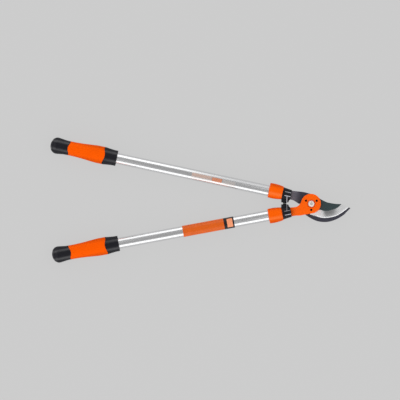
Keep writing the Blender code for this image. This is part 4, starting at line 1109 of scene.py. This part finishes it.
def makeGrip(side):
    place = handlePlace(side)
    coreLow, coreHigh = extent(side + "_grip_core", place)
    coverLow, coverHigh = extent(side + "_grip_cover", place)
    capEnd = extent(side + "_grip_cap", place)[1].x
    start, length = coreLow.x, capEnd - coreLow.x
    coverStart = coverLow.x + grip["seamsIn"][0] - start
    coverEnd = coverHigh.x - grip["seamsIn"][1] - start
    coreEnd = coreHigh.x - start

    def ringAt(along, sink=0.0, swing=0.0):
        # a swing makes the ring wave
        def point(turn):
            here = along - swing * math.sin(grip["waves"] * math.tau * turn)
            sideWall, topWall = wallsAt(grip["walls"], here / length)
            return ovalRing(start + here, tubeRadius + sideWall - sink, tubeRadius + topWall - sink)(turn)
        return point

    def between(low, high, count, sink=0.0, swingLow=0.0, swingHigh=0.0):
        return [ringAt(low + (high - low) * t, sink, swingLow + (swingHigh - swingLow) * t)
                for t in spread(0.0, 1.0, grip["rings"][count])[1:-1]]

    wave, edge, seam = grip["wave"], grip["frontEdge"], grip["seamEdge"]
    thick, seat = grip["coverThickness"], grip["coverThickness"] + gap
    seamStart, seamEnd = coverStart - gap, coverEnd + gap
    bore, mouth, (lead, flare) = grip["bore"], grip["mouth"], grip["mouthLead"]
    drawnOut = -joints[side + "_extend"]["range_m"][0]
    mouthFloor = extent(side + "_guide_bush", place)[1].x + drawnOut + grip["bushRoom"]
    core = [
        *rim(ringAt, 0.0, 1, *edge),
        *between(edge[0], seamStart - seam[0], "front", 0.0, 0.0, -wave),
        *rim(ringAt, seamStart, -1, *seam, -wave),
        ringAt(seamStart, seat, -wave),
        *between(coverStart, coverEnd, "seat", seat, -wave, wave),
        ringAt(seamEnd, seat, wave),
        *rim(ringAt, seamEnd, 1, *seam, wave),
        *between(seamEnd + seam[0], coreEnd, "back", 0.0, wave, 0.0),
        ringAt(coreEnd),
        ovalRing(start + coreEnd, bore),
        ovalRing(mouthFloor, bore),
        ovalRing(mouthFloor, mouth),
        ovalRing(start + lead, mouth),
        ovalRing(start, mouth + flare),
    ]
    cover = [
        *rim(ringAt, coverStart, 1, *seam, -wave),
        *between(coverStart + seam[0], coverEnd - seam[0], "cover", 0.0, -wave, wave),
        *rim(ringAt, coverEnd, -1, *seam, wave),
        ringAt(coverEnd, thick, wave),
        *between(coverEnd, coverStart, "seat", thick, wave, -wave),
        ringAt(coverStart, thick, -wave),
    ]
    capStart = start + coreEnd + gap
    first = math.asin(grip["crownStart"])
    crown = (capEnd - capStart) / (1 - grip["crownStart"])
    sideWall, topWall = wallsAt(grip["walls"], coreEnd / length)
    cap = [ovalRing(capStart - grip["plugLength"], bore - gap), ovalRing(capStart, bore - gap)]
    for angle in spread(first, math.pi / 2, grip["rings"]["crown"])[:-1]:
        across = math.cos(angle) / math.cos(first)
        along = capStart + crown * (math.sin(angle) - math.sin(first))
        cap.append(ovalRing(along, (tubeRadius + sideWall) * across, (tubeRadius + topWall) * across))
    for name, rings, closed, look, node, slot in (
            ("Core", core, True, "gripBlack", "_grip_core", "black_plastic"),
            ("Cover", cover, True, "orangeGrip", "_grip_cover", "orange_grip"),
            ("Cap", cap, False, "gripBlack", "_grip_cap", "black_plastic")):
        piece(side + "Grip" + name, skinned(rings, grip["facets"], closed), looks[look], [side + node], slot,
              side + "_grip_section", place, grip["sharp"])


for side in turnOver:
    makeCollar(side)
    makeFerrule(side)
    makeTubes(side)
    makeGrip(side)
makeLabel()
print("handles made")


# CAD nodes that stay, mostly inside the tubes

keptLooks = {
    "bumper_pad": "blackRubber", "tang_insert": "naturalNylon", "lock_ring": "naturalNylon",
    "lock_plug": "platedSteelNode", "_pin": "platedSteelNode", "blade_screw": "darkScrew",
}
for name, node in nodes.items():
    for ending, lookName in keptLooks.items():
        if ending in name:
            node.data.materials.clear()
            node.data.materials.append(looks[lookName].material)


# Floor, lights and camera

studio = {
    "background": 0.594, "raysThatSeeIt": ("Camera", "Glossy", "Transmission"), "floorColour": 0.75,
    "floorUneven": 0.02, "floorClouds": (3.0, 4.0), "floorHalf": 40.0, "floorDrop": 0.0002,
    "floorKeepsShadow": 0.07, "horizon": 0.6, "zenith": 0.37,
    # softboxes: place, width, height and glow
    "panels": {
        "nearPanel": ((0.0, -2.0, 1.05), 5.0, 1.9, 0.96),
        "farPanel": ((0.0, 2.0, 1.05), 0.84, 1.9, 1.0),
        "farGripPanel": ((-1.46, 2.0, 1.05), 2.08, 1.9, 0.82),
        "farHeadPanel": ((1.46, 2.0, 1.05), 2.08, 1.9, 0.26),
        "headPanel": ((2.4, 0.0, 4.05), 6.0, 7.9, 0.74),
        "gripPanel": ((-2.4, 0.0, 4.05), 6.0, 7.9, 0.71),
    },
}


def makeFloor():
    tone = (studio["floorColour"],) * 3
    look = Look("paleFloor", tone, 0.9)
    cloudy = look.noise(look.place("object"), *studio["floorClouds"])
    look.tones(cloudy, tone, 1 - studio["floorUneven"], 1 + studio["floorUneven"])
    shown = look.node("ShaderNodeEmission", {}, {"Color": (studio["background"],) * 3 + (1.0,)})
    rays = [look.node("ShaderNodeLightPath", output=f"Is {kind} Ray") for kind in studio["raysThatSeeIt"]]
    seen = (rays[0] + rays[1] + rays[2]).math("MINIMUM", 1.0) * (1.0 - studio["floorKeepsShadow"])
    lit = Wire(look, look.shader.outputs[0])
    mixed = look.node("ShaderNodeMixShader", {}, {0: seen, 1: lit, 2: shown})
    look.feed(look.tree.nodes["Material Output"].inputs["Surface"], mixed)
    bm = bmesh.new()
    bmesh.ops.create_grid(bm, x_segments=8, y_segments=8, size=studio["floorHalf"])
    bmesh.ops.translate(bm, vec=(0, 0, -studio["floorDrop"]), verts=bm.verts)
    floor = added("floor", meshOf("floor", bm))
    bm.free()
    floor.data.materials.append(look.material)
    floor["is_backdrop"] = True


def makeWorld():
    world = bpy.data.worlds.new("studio")
    world.use_nodes = True
    bpy.context.scene.world = world
    sky = Graph(world.node_tree)
    height = sky.axis(sky.node("ShaderNodeTexCoord", output="Generated"), "Z")
    limits = {"Value": height, "To Min": studio["horizon"], "To Max": studio["zenith"]}
    sky.feed(sky.tree.nodes["Background"].inputs["Color"], sky.node("ShaderNodeMapRange", {}, limits))


def makePanels():
    # softboxes on all four sides, as in a light tent open above
    for name, (place, width, height, glow) in studio["panels"].items():
        lamp = bpy.data.lights.new(name, "AREA")
        lamp.shape = "RECTANGLE"
        lamp.size, lamp.size_y = width, height
        lamp.energy = glow * math.pi * width * height
        panel = added(name, lamp)
        panel.location = place
        facing = Vector((0.0, -place[1], 0.0)) if place[1] else Vector((-place[0], 0.0, 0.0))
        panel.rotation_euler = facing.to_track_quat("-Z", "Y").to_euler()
        panel.visible_camera = False


# the photo looks straight down, with the tool turned a little in the frame
view = {"lens": 400.0, "clipEnd": 100.0, "metresPerPixel": 0.002283, "pixels": 400, "rollDegrees": 0.765,
        "centre": (-0.254, 0.00515)}


def makeCamera():
    data = bpy.data.cameras.new("camera")
    data.lens = view["lens"]
    data.clip_end = view["clipEnd"]
    distance = view["metresPerPixel"] * view["pixels"] * data.lens / data.sensor_width
    camera = added("camera", data)
    camera.location = pivotPoint + Vector((*view["centre"], distance))
    camera.rotation_euler = (0, 0, math.radians(view["rollDegrees"]))
    bpy.context.scene.camera = camera


makeFloor()
makeWorld()
makePanels()
makeCamera()
bpy.context.scene.view_settings.view_transform = "Standard"
print("stage made")

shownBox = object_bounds()
boxes = {"cad": cadBox, "visual": shownBox}
{name: [list(corner) for corner in box] for name, box in boxes.items()}
